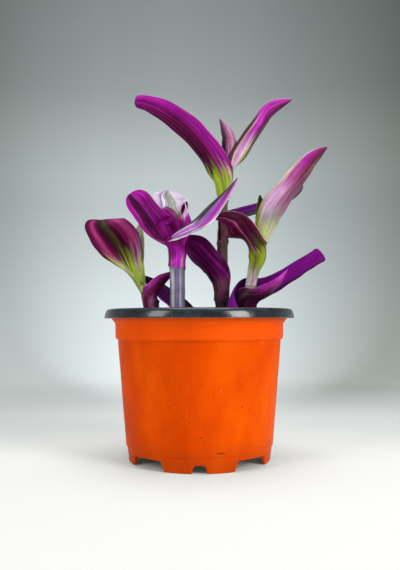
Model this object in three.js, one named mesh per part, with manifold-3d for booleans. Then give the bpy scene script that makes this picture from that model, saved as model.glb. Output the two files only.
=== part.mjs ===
import * as THREE from "three";
import Module from "manifold-3d";

// Driving dimensions in millimetres, with the pot's axis at x = 0, y = 0 and its feet on z = 0
const RIM_RADIUS = 52.5;
const LIP_TOP_RADIUS = 50.6;
const POT_HEIGHT = 82;
const LIP_HEIGHT = 5;
const NECK_RADIUS = 48.4;
const COLLAR_RADIUS = 46.4;
const COLLAR_TOP = 73.5;
const GROOVE_HEIGHT = 65.2;
const BODY_TOP_RADIUS = 45.2;
const BASE_STEP_HEIGHT = 8.2;
const BASE_STEP_RADIUS = 40.3;
const FOOT_RADIUS = 38.6;
const FOOT_HEIGHT = 5.6;
const FOOT_HALF_ANGLE = 31;
const NOTCH_WIDTH = 6.2;
const NOTCH_HEIGHT = 5;
const WALL = 1.3;
const FLOOR_TOP = 7.2;
const FLOOR_UNDERSIDE = 5.6;
const DRAIN_RADIUS = 3.5;
const SOIL_TOP = 70.5;
const FIT_GAP = 0.35;
const STEM_DEPTH = 22;
const MIDDLE_X = 4.364;
const LEAF_THICKNESS = 0.7;
const LEAF_ROWS = 12;
const LEAF_COLUMNS = 6;
const STEM_SIDES = 16;

const wasm = await Module();
wasm.setup();

const plant = new THREE.Group();
plant.name = "potted_tradescantia";

// Geometry helpers
function solid(positions, triangles) {
  return new wasm.Manifold(
    new wasm.Mesh({
      numProp: 3,
      vertProperties: new Float32Array(positions),
      triVerts: new Uint32Array(triangles),
    }),
  );
}

function geometryOf(manifold) {
  const mesh = manifold.getMesh();
  const geometry = new THREE.BufferGeometry();
  const places = new THREE.BufferAttribute(new Float32Array(mesh.vertProperties), 3);
  geometry.setAttribute("position", places);
  geometry.setIndex(new THREE.BufferAttribute(new Uint32Array(mesh.triVerts), 1));
  return geometry;
}

function geometryFrom(positions, triangles) {
  const geometry = new THREE.BufferGeometry();
  geometry.setAttribute("position", new THREE.Float32BufferAttribute(positions, 3));
  geometry.setIndex(triangles);
  return geometry;
}

function addNode(name, geometry, colour, roughness) {
  const material = new THREE.MeshStandardMaterial({ color: colour, roughness, metalness: 0 });
  const mesh = new THREE.Mesh(geometry.index ? geometry.toNonIndexed() : geometry, material);
  mesh.geometry.computeVertexNormals();
  mesh.name = name;
  plant.add(mesh);
  return mesh;
}

// A solid turned about the z axis from [radius, height] points, from the axis at its bottom to the top
function turned(profile, sides) {
  const positions = [];
  const triangles = [];
  const rings = profile.length;
  positions.push(0, 0, profile[0][1]);
  for (const [radius, height] of profile) {
    for (let i = 0; i < sides; i++) {
      const angle = (i / sides) * Math.PI * 2;
      positions.push(radius * Math.cos(angle), radius * Math.sin(angle), height);
    }
  }
  positions.push(0, 0, profile[rings - 1][1]);
  const last = 1 + rings * sides;
  for (let i = 0; i < sides; i++) {
    const j = (i + 1) % sides;
    triangles.push(0, 1 + j, 1 + i);
    for (let k = 0; k < rings - 1; k++) {
      const a = 1 + k * sides;
      const b = a + sides;
      triangles.push(a + i, a + j, b + j, a + i, b + j, b + i);
    }
    triangles.push(last, last - sides + i, last - sides + j);
  }
  return solid(positions, triangles);
}

// An upright prism from a list of [x, y] corners, anticlockwise
function upright(corners, low, high) {
  const positions = [];
  const triangles = [];
  const n = corners.length;
  for (const [x, y] of corners) positions.push(x, y, low);
  for (const [x, y] of corners) positions.push(x, y, high);
  for (let i = 0; i < n; i++) {
    const j = (i + 1) % n;
    triangles.push(i, j, n + j, i, n + j, n + i);
  }
  for (let i = 1; i < n - 1; i++) {
    triangles.push(0, i + 1, i);
    triangles.push(n, n + i, n + i + 1);
  }
  return solid(positions, triangles);
}

// Smooth interpolation through a list of equal-length number rows
function along(rows, place) {
  const last = rows.length - 1;
  const at = Math.min(Math.max(place, 0), 1) * last;
  const i = Math.min(Math.floor(at), last - 1);
  const t = at - i;
  const before = rows[Math.max(i - 1, 0)];
  const after = rows[Math.min(i + 2, last)];
  return rows[i].map((p1, k) => {
    const p0 = before[k];
    const p2 = rows[i + 1][k];
    const p3 = after[k];
    const cubic = (3 * p1 - p0 - 3 * p2 + p3) * t * t * t;
    const square = (2 * p0 - 5 * p1 + 4 * p2 - p3) * t * t;
    return 0.5 * (2 * p1 + (p2 - p0) * t + square + cubic);
  });
}

// The pot: one thin moulding with a rolled-out lip, a neck, a collar, a straight body and four notched feet
function potSolid() {
  const lipFoot = POT_HEIGHT - LIP_HEIGHT;
  const outside = turned(
    [
      [FOOT_RADIUS, 0],
      [FOOT_RADIUS + 0.9, FOOT_HEIGHT],
      [FOOT_RADIUS + 1.0, BASE_STEP_HEIGHT - 0.8],
      [BASE_STEP_RADIUS - 0.5, BASE_STEP_HEIGHT - 0.1],
      [BASE_STEP_RADIUS, BASE_STEP_HEIGHT + 0.5],
      [BODY_TOP_RADIUS - 0.1, GROOVE_HEIGHT - 1.2],
      [BODY_TOP_RADIUS - 0.3, GROOVE_HEIGHT - 0.3],
      [COLLAR_RADIUS - 0.6, GROOVE_HEIGHT + 0.3],
      [COLLAR_RADIUS - 0.1, GROOVE_HEIGHT + 1.1],
      [COLLAR_RADIUS, GROOVE_HEIGHT + 2.4],
      [COLLAR_RADIUS + 0.1, COLLAR_TOP],
      [COLLAR_RADIUS + 0.7, COLLAR_TOP + 1.6],
      [NECK_RADIUS, lipFoot - 0.6],
      [NECK_RADIUS + 0.3, lipFoot],
      [RIM_RADIUS - 0.5, lipFoot],
      [RIM_RADIUS, lipFoot + 0.5],
      [RIM_RADIUS - 0.1, lipFoot + 1.6],
      [RIM_RADIUS - 0.8, POT_HEIGHT - 1.3],
      [LIP_TOP_RADIUS, POT_HEIGHT - 0.2],
      [LIP_TOP_RADIUS - 0.7, POT_HEIGHT],
    ],
    48,
  );
  const inside = turned(
    [
      [BASE_STEP_RADIUS - WALL - 2.2, FLOOR_TOP],
      [BASE_STEP_RADIUS - WALL - 0.4, FLOOR_TOP + 1.6],
      [BODY_TOP_RADIUS - WALL, GROOVE_HEIGHT - 0.5],
      [COLLAR_RADIUS - WALL, GROOVE_HEIGHT + 2.4],
      [COLLAR_RADIUS - WALL + 0.1, COLLAR_TOP + 0.3],
      [NECK_RADIUS - WALL - 0.2, lipFoot + 0.4],
      [LIP_TOP_RADIUS - 2.3, POT_HEIGHT - 0.9],
      [LIP_TOP_RADIUS - 1.5, POT_HEIGHT + 0.2],
    ],
    48,
  );
  const recess = turned(
    [
      [FOOT_RADIUS - WALL - 0.3, -1],
      [FOOT_RADIUS - WALL, FLOOR_UNDERSIDE - 1],
      [FOOT_RADIUS - WALL - 1, FLOOR_UNDERSIDE],
    ],
    48,
  );
  let pot = outside.subtract(inside).subtract(recess);
  for (let quarter = 0; quarter < 4; quarter++) {
    const middle = quarter * 90 + 45;
    const half = 45 - FOOT_HALF_ANGLE;
    const corners = [[0, 0]];
    for (let step = 0; step <= 4; step++) {
      const angle = THREE.MathUtils.degToRad(middle - half + (step * half) / 2);
      corners.push([60 * Math.cos(angle), 60 * Math.sin(angle)]);
    }
    const gap = upright(corners, -1, FOOT_HEIGHT - 0.4);
    pot = pot.subtract(gap);
    pot = pot.subtract(notch(quarter * 90));
    const turn = THREE.MathUtils.degToRad(middle);
    const drain = turned(
      [
        [DRAIN_RADIUS, FLOOR_UNDERSIDE - 2],
        [DRAIN_RADIUS, FLOOR_TOP + 1],
      ],
      16,
    );
    pot = pot.subtract(drain.translate([26 * Math.cos(turn), 26 * Math.sin(turn), 0]));
  }
  return pot;
}

// The arched notch in the middle of a foot
function notch(degrees) {
  const wide = NOTCH_WIDTH / 2 + 0.7;
  const narrow = NOTCH_WIDTH / 2 - 0.4;
  const section = [
    [-wide, -1],
    [wide, -1],
    [wide - 0.2, 0.4],
    [narrow, NOTCH_HEIGHT - 1.2],
    [narrow * 0.55, NOTCH_HEIGHT - 0.2],
    [0, NOTCH_HEIGHT],
    [-narrow * 0.55, NOTCH_HEIGHT - 0.2],
    [-narrow, NOTCH_HEIGHT - 1.2],
    [-wide + 0.2, 0.4],
  ];
  const bar = upright(section, -45, -33);
  return bar.rotate([90, 0, 0]).rotate([0, 0, degrees + 180]);
}

// The soil: an uneven surface over a plug that clears the pot wall
function soilSolid(stemHoles) {
  const sides = 36;
  const profile = [
    [BASE_STEP_RADIUS - WALL - 2.2 - FIT_GAP, FLOOR_TOP + FIT_GAP],
    [BASE_STEP_RADIUS - WALL - 0.4 - FIT_GAP, FLOOR_TOP + 1.6 + FIT_GAP],
    [BODY_TOP_RADIUS - WALL - FIT_GAP, GROOVE_HEIGHT - 0.5],
    [COLLAR_RADIUS - WALL - FIT_GAP - 0.5, GROOVE_HEIGHT + 2.4],
    [COLLAR_RADIUS - WALL - FIT_GAP - 0.6, SOIL_TOP - 0.8],
  ];
  const positions = [0, 0, profile[0][1]];
  const triangles = [];
  for (const [radius, height] of profile) {
    for (let i = 0; i < sides; i++) {
      const angle = (i / sides) * Math.PI * 2;
      positions.push(radius * Math.cos(angle), radius * Math.sin(angle), height);
    }
  }
  const rings = [41, 35, 28, 21, 14, 7];
  for (const radius of rings) {
    for (let i = 0; i < sides; i++) {
      const angle = (i / sides) * Math.PI * 2;
      const x = radius * Math.cos(angle);
      const y = radius * Math.sin(angle);
      const bumps = Math.sin(x * 0.31 + 1.3) * Math.cos(y * 0.27 + 0.4) * 0.7;
      const grains = Math.sin(x * 0.83 + y * 0.61) * 0.35;
      positions.push(x, y, SOIL_TOP + bumps + grains);
    }
  }
  positions.push(0, 0, SOIL_TOP + 0.4);
  const count = profile.length + rings.length;
  const last = 1 + count * sides;
  for (let i = 0; i < sides; i++) {
    const j = (i + 1) % sides;
    triangles.push(0, 1 + j, 1 + i);
    for (let k = 0; k < count - 1; k++) {
      const a = 1 + k * sides;
      const b = a + sides;
      triangles.push(a + i, a + j, b + j, a + i, b + j, b + i);
    }
    triangles.push(last, last - sides + i, last - sides + j);
  }
  let soil = solid(positions, triangles);
  for (const hole of stemHoles) soil = soil.subtract(hole);
  return soil;
}

// A round stem through [x, y, z, radius] rows
function stemSolid(rows, sides = STEM_SIDES) {
  const positions = [];
  const triangles = [];
  const path = rows.map((row) => new THREE.Vector3(row[0], row[1], row[2]));
  const side = new THREE.Vector3(1, 0, 0);
  path.forEach((point, k) => {
    const from = path[Math.max(k - 1, 0)];
    const to = path[Math.min(k + 1, path.length - 1)];
    const tangent = to.clone().sub(from).normalize();
    const across = side.clone().addScaledVector(tangent, -side.dot(tangent)).normalize();
    const other = tangent.clone().cross(across);
    for (let i = 0; i < sides; i++) {
      const angle = (i / sides) * Math.PI * 2;
      const at = point.clone();
      at.addScaledVector(across, Math.cos(angle) * rows[k][3]);
      at.addScaledVector(other, Math.sin(angle) * rows[k][3]);
      positions.push(at.x, at.y, at.z);
    }
  });
  const first = rows.length * sides;
  positions.push(path[0].x, path[0].y, path[0].z);
  const end = path[path.length - 1];
  positions.push(end.x, end.y, end.z);
  for (let i = 0; i < sides; i++) {
    const j = (i + 1) % sides;
    triangles.push(first, j, i);
    for (let k = 0; k < rows.length - 1; k++) {
      const a = k * sides;
      const b = a + sides;
      triangles.push(a + i, a + j, b + j, a + i, b + j, b + i);
    }
    triangles.push(first + 1, first - sides + i, first - sides + j);
  }
  return solid(positions, triangles);
}

// A leaf with its sheath. Each row is one station of the midrib, from the sheath to the tip:
// x, y, z, the direction its inner face looks (x, y, z), half the width along the surface,
// how far the half-width bends round, in degrees (about 170 is a tube, 0 is flat),
// and how far the blade is shifted to one side of its midrib
function leafGeometry(stations, options = {}) {
  const { rows = LEAF_ROWS, columns = LEAF_COLUMNS } = options;
  const { wave = 0, waves = 3, blunt = false } = options;
  const positions = [];
  const triangles = [];
  const across = columns + 1;
  const skin = (rows + 1) * across;
  const upper = [];
  const lower = [];
  for (let r = 0; r <= rows; r++) {
    const place = blunt ? 1 - Math.pow(1 - r / rows, 1.35) : r / rows;
    const row = along(stations, place);
    const back = along(stations, place - 0.01);
    const ahead = along(stations, place + 0.01);
    const point = new THREE.Vector3(row[0], row[1], row[2]);
    const tangent = new THREE.Vector3(ahead[0] - back[0], ahead[1] - back[1], ahead[2] - back[2]);
    tangent.normalize();
    const face = new THREE.Vector3(row[3], row[4], row[5]);
    face.addScaledVector(tangent, -face.dot(tangent)).normalize();
    const side = tangent.clone().cross(face);
    const ending = blunt ? Math.max(0, (place - 0.86) / 0.14) : 0;
    const half = Math.max(row[6] * Math.sqrt(1 - ending * ending), 0.5);
    const bend = THREE.MathUtils.degToRad(row[7]);
    const curve = Math.abs(bend) < 0.02 ? 0.02 : bend;
    const radius = half / curve;
    for (let c = 0; c <= columns; c++) {
      const s = (c / columns) * 2 - 1;
      const angle = curve * (s + (row[8] ?? 0));
      const at = point.clone();
      at.addScaledVector(side, radius * Math.sin(angle));
      at.addScaledVector(face, radius * (1 - Math.cos(angle)));
      const outward = face.clone().multiplyScalar(Math.cos(angle));
      outward.addScaledVector(side, -Math.sin(angle));
      const fading = Math.min(place * 3, 1, (1 - place) * 4);
      const ripple = wave * Math.sin(place * Math.PI * 2 * waves + s * 1.7) * s * s * fading;
      at.addScaledVector(outward, ripple);
      upper.push(at.clone().addScaledVector(outward, LEAF_THICKNESS / 2));
      lower.push(at.clone().addScaledVector(outward, -LEAF_THICKNESS / 2));
    }
  }
  for (const v of upper) positions.push(v.x, v.y, v.z);
  for (const v of lower) positions.push(v.x, v.y, v.z);
  for (let r = 0; r < rows; r++) {
    for (let c = 0; c < columns; c++) {
      const a = r * across + c;
      const b = a + 1;
      const d = a + across;
      const e = d + 1;
      triangles.push(a, b, e, a, e, d);
      triangles.push(skin + a, skin + e, skin + b, skin + a, skin + d, skin + e);
    }
    const left = r * across;
    const right = left + columns;
    triangles.push(left, left + across, skin + left + across, left, skin + left + across, skin + left);
    triangles.push(right, skin + right + across, right + across, right, skin + right, skin + right + across);
  }
  for (let c = 0; c < columns; c++) {
    const low = c;
    const top = rows * across + c;
    triangles.push(low, skin + low + 1, low + 1, low, skin + low, skin + low + 1);
    triangles.push(top, top + 1, skin + top + 1, top, skin + top + 1, skin + top);
  }
  return geometryFrom(positions, triangles);
}

function addLeaf(name, colour, stations, options) {
  addNode(name, leafGeometry(stations, options), colour, 0.42);
}

// Stems, as [x, y, z, radius] rows: each has its foot in the soil and thickens at its nodes
const soilFoot = SOIL_TOP - STEM_DEPTH;
const stems = {
  stem_front: [
    [-11.6, -12, soilFoot, 3.7],
    [-11.6, -12, 70, 4.1],
    [-11.7, -12, 90, 4.1],
    [-11.8, -12, 102, 4.1],
    [-11.8, -12, 104.2, 4.45],
    [-11.8, -12, 105.2, 4.4],
    [-11.8, -12, 105.6, 3.5],
    [-11.7, -12, 109, 3.4],
    [-11.6, -12, 110.5, 2.6],
  ],
  stem_tall: [
    [12.4, 3, soilFoot, 3.3],
    [12.5, 3, 70, 3.5],
    [12.6, 3, 84, 3.5],
    [12.7, 3, 86.6, 3.95],
    [12.8, 3, 87.6, 3.9],
    [12.8, 3, 88.1, 3.1],
    [13.1, 3, 104, 3.05],
    [13.2, 3, 117.6, 3.05],
    [13.2, 3, 119.2, 3.4],
    [13.2, 3, 120.2, 3.4],
    [13.3, 3, 120.8, 1.7],
    [13.7, 3, 128, 1.5],
    [13.7, 3, 136, 2.5],
    [13.9, 3, 142.2, 2.5],
    [14, 3, 143.4, 2.9],
    [14, 3, 144.1, 2.8],
    [14, 3, 144.4, 2.2],
    [14.1, 3, 147, 1.7],
  ],
  stem_right: [
    [25.2, -8, soilFoot, 2.6],
    [25.4, -8, 70, 2.8],
    [26, -8, 76, 2.5],
    [26.6, -8, 82, 2.35],
    [27.6, -8, 91.6, 2.6],
    [27.9, -8, 93.4, 2.95],
    [28.1, -8, 94.4, 2.7],
    [28.2, -8, 95, 1.8],
    [29.6, -8, 101, 1.8],
    [30.6, -8, 105.4, 1.2],
  ],
  stem_left: [
    [-24.4, -2, soilFoot, 2.9],
    [-25, -2, 70, 2.7],
    [-26.1, -2, 76, 2.4],
    [-26.9, -2, 80, 2.3],
    [-28, -2, 86.5, 2],
    [-28.8, -2.1, 89.6, 1.7],
    [-29.3, -2.2, 91.4, 1.2],
  ],
  stem_back: [
    [2.4, 11, soilFoot, 2.8],
    [2.4, 11, 68, 2.8],
    [2.2, 11, 71.8, 2.7],
    [2.1, 11, 73.6, 2],
  ],
};

const stemColours = {
  stem_front: 0x8f87a3,
  stem_tall: 0x5a4038,
  stem_right: 0xb59aa0,
  stem_left: 0x9a7f6a,
  stem_back: 0x4a3340,
};

const holes = [];
for (const [name, rows] of Object.entries(stems)) {
  addNode(name, geometryOf(stemSolid(rows)), stemColours[name], 0.45);
  const below = rows.filter((row) => row[2] <= 70.001);
  const [x, y, z, radius] = below[below.length - 1];
  const [x0, y0, z0, radius0] = below[0];
  const lean = [(x - x0) / (z - z0), (y - y0) / (z - z0)];
  holes.push(
    stemSolid([
      [x0 - lean[0] * FIT_GAP, y0 - lean[1] * FIT_GAP, z0 - FIT_GAP, radius0 + FIT_GAP],
      [x, y, z, radius + FIT_GAP + 0.05],
      [x + lean[0] * 4, y + lean[1] * 4, z + 4, radius + FIT_GAP + 0.25],
    ]),
  );
}
addNode("pot", geometryOf(potSolid()), 0xe9500f, 0.38);
addNode("soil", geometryOf(soilSolid(holes)), 0x33261d, 0.95);

// Front shoot: a leaf to the right, a broad leaf to the left, a pale leaf behind and a young spike
addLeaf("leaf_front_right", 0xa946b4, [
  [-8.3, -12, 113.4, -1, 0, 0, 8.6, 166, 0],
  [-7.9, -12.2, 117, -1, -0.1, 0.1, 8.2, 124, 0.28],
  [-4.3, -15.2, 121.4, -0.7, -0.6, 0.5, 9, 80, 0.62],
  [0.4, -17.8, 126, -0.4, -0.85, 0.5, 7, 50, 0.34],
  [7.4, -19.4, 133.4, -0.35, -0.85, 0.4, 5, 36, 0.1],
  [14.8, -19.8, 142.4, -0.4, -0.8, 0.4, 2.8, 40, 0],
  [20.9, -19, 151.8, -0.4, -0.8, 0.4, 0.4, 20, 0],
], { rows: 14, wave: 0.3, waves: 2 });
addLeaf("leaf_front_left", 0x84176f, [
  [-16.2, -12, 106, 1, 0, 0, 13.2, 171, 0],
  [-16.3, -12, 111, 1, 0, 0, 13.6, 168, 0],
  [-17.4, -12.1, 114.8, 0.98, -0.02, 0.1, 13, 124, 0.24],
  [-21.2, -13, 117.6, 0.85, -0.12, 0.5, 13.8, 62, 0.28],
  [-26.8, -16.2, 123.2, 0.62, -0.5, 0.62, 14.4, 58, 0.26],
  [-29.8, -19.2, 131, 0.48, -0.75, 0.5, 11.4, 42, 0.05],
  [-33.6, -22.6, 137.8, 0.4, -0.8, 0.45, 9, 36, -0.02],
  [-37, -24, 142, 0.3, -0.8, 0.4, 6.2, 40, 0],
], { rows: 14, wave: 0.3, waves: 2, blunt: true });
addLeaf("leaf_front_pale", 0xd9c9de, [
  [-9.4, -11.4, 122.6, -0.85, -0.53, 0, 2.6, 162, 0],
  [-6.9, -10.6, 125.2, -0.85, -0.53, 0, 8.8, 152, 0],
  [-5.2, -9.6, 128, -0.75, -0.66, 0.1, 10.8, 130, 0.16],
  [-7, -4.6, 133.4, -0.2, -0.88, 0.4, 7.4, 30, 0.04],
  [-14.4, 1, 138.6, -0.1, -0.85, 0.5, 10, 46, 0.1],
  [-24.2, 1.6, 141.6, -0.25, -0.85, 0.45, 7.2, 40, 0],
], { wave: 0.3, waves: 1.5, blunt: true });
addLeaf("leaf_front_spike", 0x6a1450, [
  [-9.6, -11.1, 127.8, 0, -1, 0, 1.3, 120, 0],
  [-9, -11, 130.8, 0, -1, 0, 3.2, 108, 0],
  [-8.1, -11, 136, 0, -1, 0, 3.8, 96, 0],
  [-7, -10.8, 141, 0, -1, 0, 0.5, 60, 0],
], { rows: 8 });

// Tall shoot: a low leaf behind the front shoot, one to the right, and the three of its head
addLeaf("leaf_tall_low", 0x4f1040, [
  [12.7, -1.1, 88.8, 0, 1, 0, 12, 168, 0],
  [12.7, -1.2, 93, 0, 1, 0, 12, 160, 0],
  [11.4, -2.1, 99.4, 0.15, 1, 0.05, 11, 106, 0.04],
  [6.6, -3.1, 106.8, 0.3, 0.9, 0.3, 9, 56, 0.14],
  [-2, -0.8, 114.6, 0.35, 0.8, 0.45, 9.4, 40, 0],
  [-10, 2, 121.6, 0.35, 0.8, 0.5, 5, 30, 0],
], { blunt: true });
addLeaf("leaf_tall_right", 0x65316f, [
  [15, 5.2, 121.4, -0.6, -0.8, 0, 7.9, 166],
  [15.3, 5.4, 126, -0.6, -0.8, 0, 8.2, 160],
  [18, 7.8, 131.6, -0.5, -0.8, 0.3, 7.8, 90],
  [25.4, 10.6, 136.4, -0.2, -0.7, 0.7, 6.2, 50],
  [37, 12, 140.4, -0.1, -0.7, 0.75, 5.6, 40],
  [49, 12.6, 146, -0.1, -0.7, 0.75, 5, 40],
  [60.5, 12.6, 154, -0.1, -0.7, 0.75, 0.5, 30],
]);
addLeaf("leaf_tall_left", 0x7a1663, [
  [14, -0.3, 144.8, 0.03, 1, 0, 10, 170, 0],
  [13.9, -0.9, 149.4, 0.03, 1, 0, 11.8, 164, 0],
  [13.4, -2.9, 156, 0.06, 1, 0.05, 12.8, 120, 0.06],
  [10.8, -4, 162.6, 0.1, 0.97, 0.1, 10.2, 80, 0.1],
  [3.6, -4.6, 173, 0.15, 0.95, 0.15, 8.2, 60, 0.05],
  [-6, -5, 184.2, 0.15, 0.95, 0.15, 7.8, 52, 0],
  [-17.4, -6, 193.2, 0.1, 0.95, 0.15, 7, 50, 0],
  [-28, -8, 197.8, 0.1, 0.95, 0.2, 5.6, 46, 0],
  [-35.8, -9, 199.4, 0.1, 0.95, 0.2, 3.6, 40, 0],
], { rows: 16, wave: 0.3, waves: 2, blunt: true });
addLeaf("leaf_tall_top", 0xc24ea6, [
  [15.5, 4.7, 150, -0.6, -0.8, 0, 6, 162],
  [16.1, 5.4, 156, -0.6, -0.8, 0.1, 6.1, 150],
  [19.2, 8.8, 162.6, -0.85, -0.3, 0.3, 7.6, 96],
  [25, 8.4, 169.6, -0.7, 0.5, 0.5, 8.4, 74],
  [31.6, 6.6, 179.4, -0.65, 0.55, 0.5, 8.4, 66],
  [40.2, 3.8, 189.8, -0.65, 0.5, 0.5, 6.8, 62],
  [48, 2, 197, -0.6, 0.5, 0.6, 4.2, 56],
  [53.2, 0.6, 201.4, -0.6, 0.4, 0.7, 0.4, 30],
], { rows: 14 });
addLeaf("leaf_tall_spike", 0xa8799c, [
  [15.6, 5.2, 162, 0.1, 1, 0, 2, 100],
  [16, 5.4, 167, 0.15, 1, 0, 4, 90],
  [16.5, 5.6, 174, 0.15, 1, 0, 5.4, 76],
  [16.3, 5.6, 182.4, 0.2, 1, 0, 4.6, 70],
  [12.2, 5.4, 191.8, 0.3, 1, 0, 0.4, 30],
], { rows: 10 });

// Right shoot: two low cupped leaves, then a stem with an arching leaf, a long pale leaf and a young tip
addLeaf("leaf_right_low", 0x6a1670, [
  [22.4, -1.4, 74, 0.15, -1, 0, 16.4, 124, -0.4],
  [22.6, -1, 81, 0.15, -1, 0.1, 15.6, 110, -0.5],
  [27.2, -1.8, 87.4, 0, -0.9, 0.4, 11.4, 88, -0.37],
  [37, -4.6, 92.2, -0.2, -0.8, 0.55, 7.6, 46, -0.06],
  [46.4, -7.4, 97.8, -0.2, -0.8, 0.55, 6, 36, 0],
  [55, -9.6, 103.4, -0.2, -0.8, 0.55, 5.6, 36, 0],
  [62, -11, 107.8, -0.2, -0.8, 0.55, 5.2, 36, 0],
  [67.4, -12, 111.2, -0.2, -0.8, 0.55, 5.6, 30, 0],
], { rows: 14, blunt: true });
addLeaf("leaf_right_cupped", 0x74124c, [
  [26, -12.9, 76, -0.1, 1, 0, 11.6, 150, 0],
  [26.6, -13.4, 80.4, -0.15, 1, 0.1, 10.6, 120, 0.1],
  [28.2, -14.2, 84, -0.35, 0.8, 0.4, 10, 84, 0.34],
  [32.4, -15.2, 87, -0.5, 0.5, 0.7, 6.8, 76, 0.14],
  [38, -16, 90.4, -0.5, 0.45, 0.75, 6.2, 70, 0.1],
  [43.6, -16, 95.8, -0.6, 0.4, 0.7, 4.4, 60, 0],
  [47.6, -15.4, 102.8, -0.6, 0.4, 0.7, 0.5, 30, 0],
]);
addLeaf("leaf_right_arching", 0x5d1738, [
  [25.6, -8, 95.6, 1, 0, -0.1, 7.8, 168, 0],
  [27.2, -8, 103, 1, 0, -0.1, 8.6, 164, 0],
  [28.4, -8.2, 110, 1, -0.05, 0, 10.4, 140, 0],
  [28.6, -9.6, 117.4, 0.95, -0.25, 0.2, 11, 80, -0.2],
  [26.6, -12, 123.8, 0.5, -0.7, 0.5, 10, 14, -0.3],
  [21.8, -13, 129.4, 0.2, -0.8, 0.6, 9.2, -24, -0.03],
  [15, -13.6, 131.8, 0, -0.75, 0.65, 6.8, -30, 0],
  [9, -14, 130.4, -0.2, -0.7, 0.6, 0.6, -10, 0],
], { rows: 14 });
addLeaf("leaf_right_long", 0xc488b4, [
  [34, -8.4, 112, -1, 0, 0.2, 4.4, 150, 0],
  [35, -9.8, 118.4, -0.9, 0.3, 0.2, 5.1, 92, -0.05],
  [37.6, -10.2, 126, -0.5, 0.8, 0.2, 8, 62, -0.1],
  [41.8, -10, 136.4, -0.45, 0.8, 0.3, 10.2, 48, -0.12],
  [48.8, -10.2, 146.6, -0.45, 0.8, 0.35, 8.8, 44, -0.16],
  [55.8, -10.6, 156.6, -0.45, 0.8, 0.35, 7.6, 42, -0.2],
  [62, -10.8, 164.4, -0.4, 0.8, 0.4, 5.6, 44, -0.2],
  [70.6, -11, 170.6, -0.4, 0.8, 0.4, 0.4, 30, 0],
], { rows: 14 });
addLeaf("leaf_right_tip", 0x6d6a35, [
  [33.6, -2.5, 113.6, 0, -1, 0, 1.6, 50],
  [33.8, -2.2, 119, 0, -1, 0, 2.4, 50],
  [34.5, -2, 125.6, 0, -1, 0, 3.1, 50],
  [34.9, -1.8, 132, 0, -1, 0, 3.7, 50],
  [34.8, -1.5, 139.4, 0, -1, 0, 2.7, 50],
  [34.2, -1.2, 146, 0, -1, 0, 0.5, 30],
], { rows: 8 });

// Left shoot: a fan-shaped striped leaf, a small tip behind it and a folded leaf to the right
addLeaf("leaf_left_fan", 0x86506a, [
  [-32.9, 0.8, 95, 0.6, -0.8, 0, 6.4, 150, 0],
  [-34.8, -1.4, 99.6, 0.55, -0.8, 0.3, 7.6, 110, 0],
  [-38.4, -3.4, 106, 0.5, -0.8, 0.35, 9.4, 60, 0],
  [-42.4, -5, 112.6, 0.4, -0.85, 0.35, 11.8, 36, 0],
  [-47, -6, 120, 0.3, -0.9, 0.3, 12.8, 30, -0.03],
  [-51.6, -6, 127.2, 0.3, -0.9, 0.4, 11.9, 24, -0.1],
  [-55.4, -2.4, 132.2, 0.3, -0.6, 0.8, 9.6, 20, -0.1],
], { wave: 0.6, waves: 1.5, blunt: true });
addLeaf("leaf_left_tip", 0x9fae6e, [
  [-33.6, 1, 104, 0, -1, 0, 2.6, 50],
  [-34, 3, 117, 0, -1, 0, 3.4, 50],
  [-34.1, 4, 125, 0, -1, 0, 2.8, 50],
  [-33.8, 4, 130.6, 0, -1, 0, 0.5, 30],
], { rows: 8 });
addLeaf("leaf_left_folded", 0x8a1a5c, [
  [-26.6, -5.5, 76, 0.1, 1, 0, 9.8, 165, 0],
  [-27.7, -5.7, 82.6, 0.15, 1, 0, 9.8, 155, 0],
  [-27.8, -5.8, 88, 0.15, 0.95, 0.3, 8, 105, -0.06],
  [-25, -5.4, 92.8, -0.2, 0.9, 0.5, 5.4, 70, -0.2],
  [-20.2, -4.6, 97.6, -0.3, 0.8, 0.6, 4.4, 56, -0.1],
  [-14, -4.2, 102.8, -0.3, 0.8, 0.6, 0.6, 30, 0],
]);

// Back shoot: one dark leaf that crosses behind the front and left shoots
addLeaf("leaf_back", 0x3c1233, [
  [-0.4, 9.4, 75.4, 0.5, 0.2, 0.8, 7.4, 70],
  [-4.6, 8.4, 78.2, 0.5, -0.3, 0.8, 7.6, 50],
  [-10.4, 7, 82.2, 0.4, -0.6, 0.6, 7.2, 36],
  [-18.6, 6.3, 89, 0.4, -0.7, 0.6, 6.4, 30],
  [-27, 5.3, 96, 0.4, -0.7, 0.6, 4.6, 30],
  [-33.4, 4, 101.6, 0.4, -0.7, 0.6, 0.6, 20],
]);

// The origin is below the middle of the whole plant, so the pot stands to one side of it
plant.position.x = -MIDDLE_X;

export default plant;
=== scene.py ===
import bpy
import bmesh
import math
import random
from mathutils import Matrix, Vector, noise


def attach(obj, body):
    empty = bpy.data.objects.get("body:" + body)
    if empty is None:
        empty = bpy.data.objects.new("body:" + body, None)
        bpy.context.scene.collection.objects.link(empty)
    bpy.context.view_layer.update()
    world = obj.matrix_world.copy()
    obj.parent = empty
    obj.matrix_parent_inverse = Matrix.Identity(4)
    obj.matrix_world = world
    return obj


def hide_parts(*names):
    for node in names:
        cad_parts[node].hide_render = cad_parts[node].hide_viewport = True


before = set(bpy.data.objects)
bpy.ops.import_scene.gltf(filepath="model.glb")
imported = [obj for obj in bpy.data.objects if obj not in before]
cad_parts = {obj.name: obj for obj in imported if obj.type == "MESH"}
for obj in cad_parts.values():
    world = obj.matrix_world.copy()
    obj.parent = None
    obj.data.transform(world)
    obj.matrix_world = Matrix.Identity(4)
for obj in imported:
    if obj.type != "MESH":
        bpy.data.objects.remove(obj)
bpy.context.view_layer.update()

mm = 0.001
middleX = 4.364  # the pot's axis stands this many mm left of the origin


def metres(x, y, z):
    return Vector(((x - middleX) * mm, y * mm, z * mm))


def addObject(name, data):
    thing = bpy.data.objects.new(name, data)
    bpy.context.scene.collection.objects.link(thing)
    return thing


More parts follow.
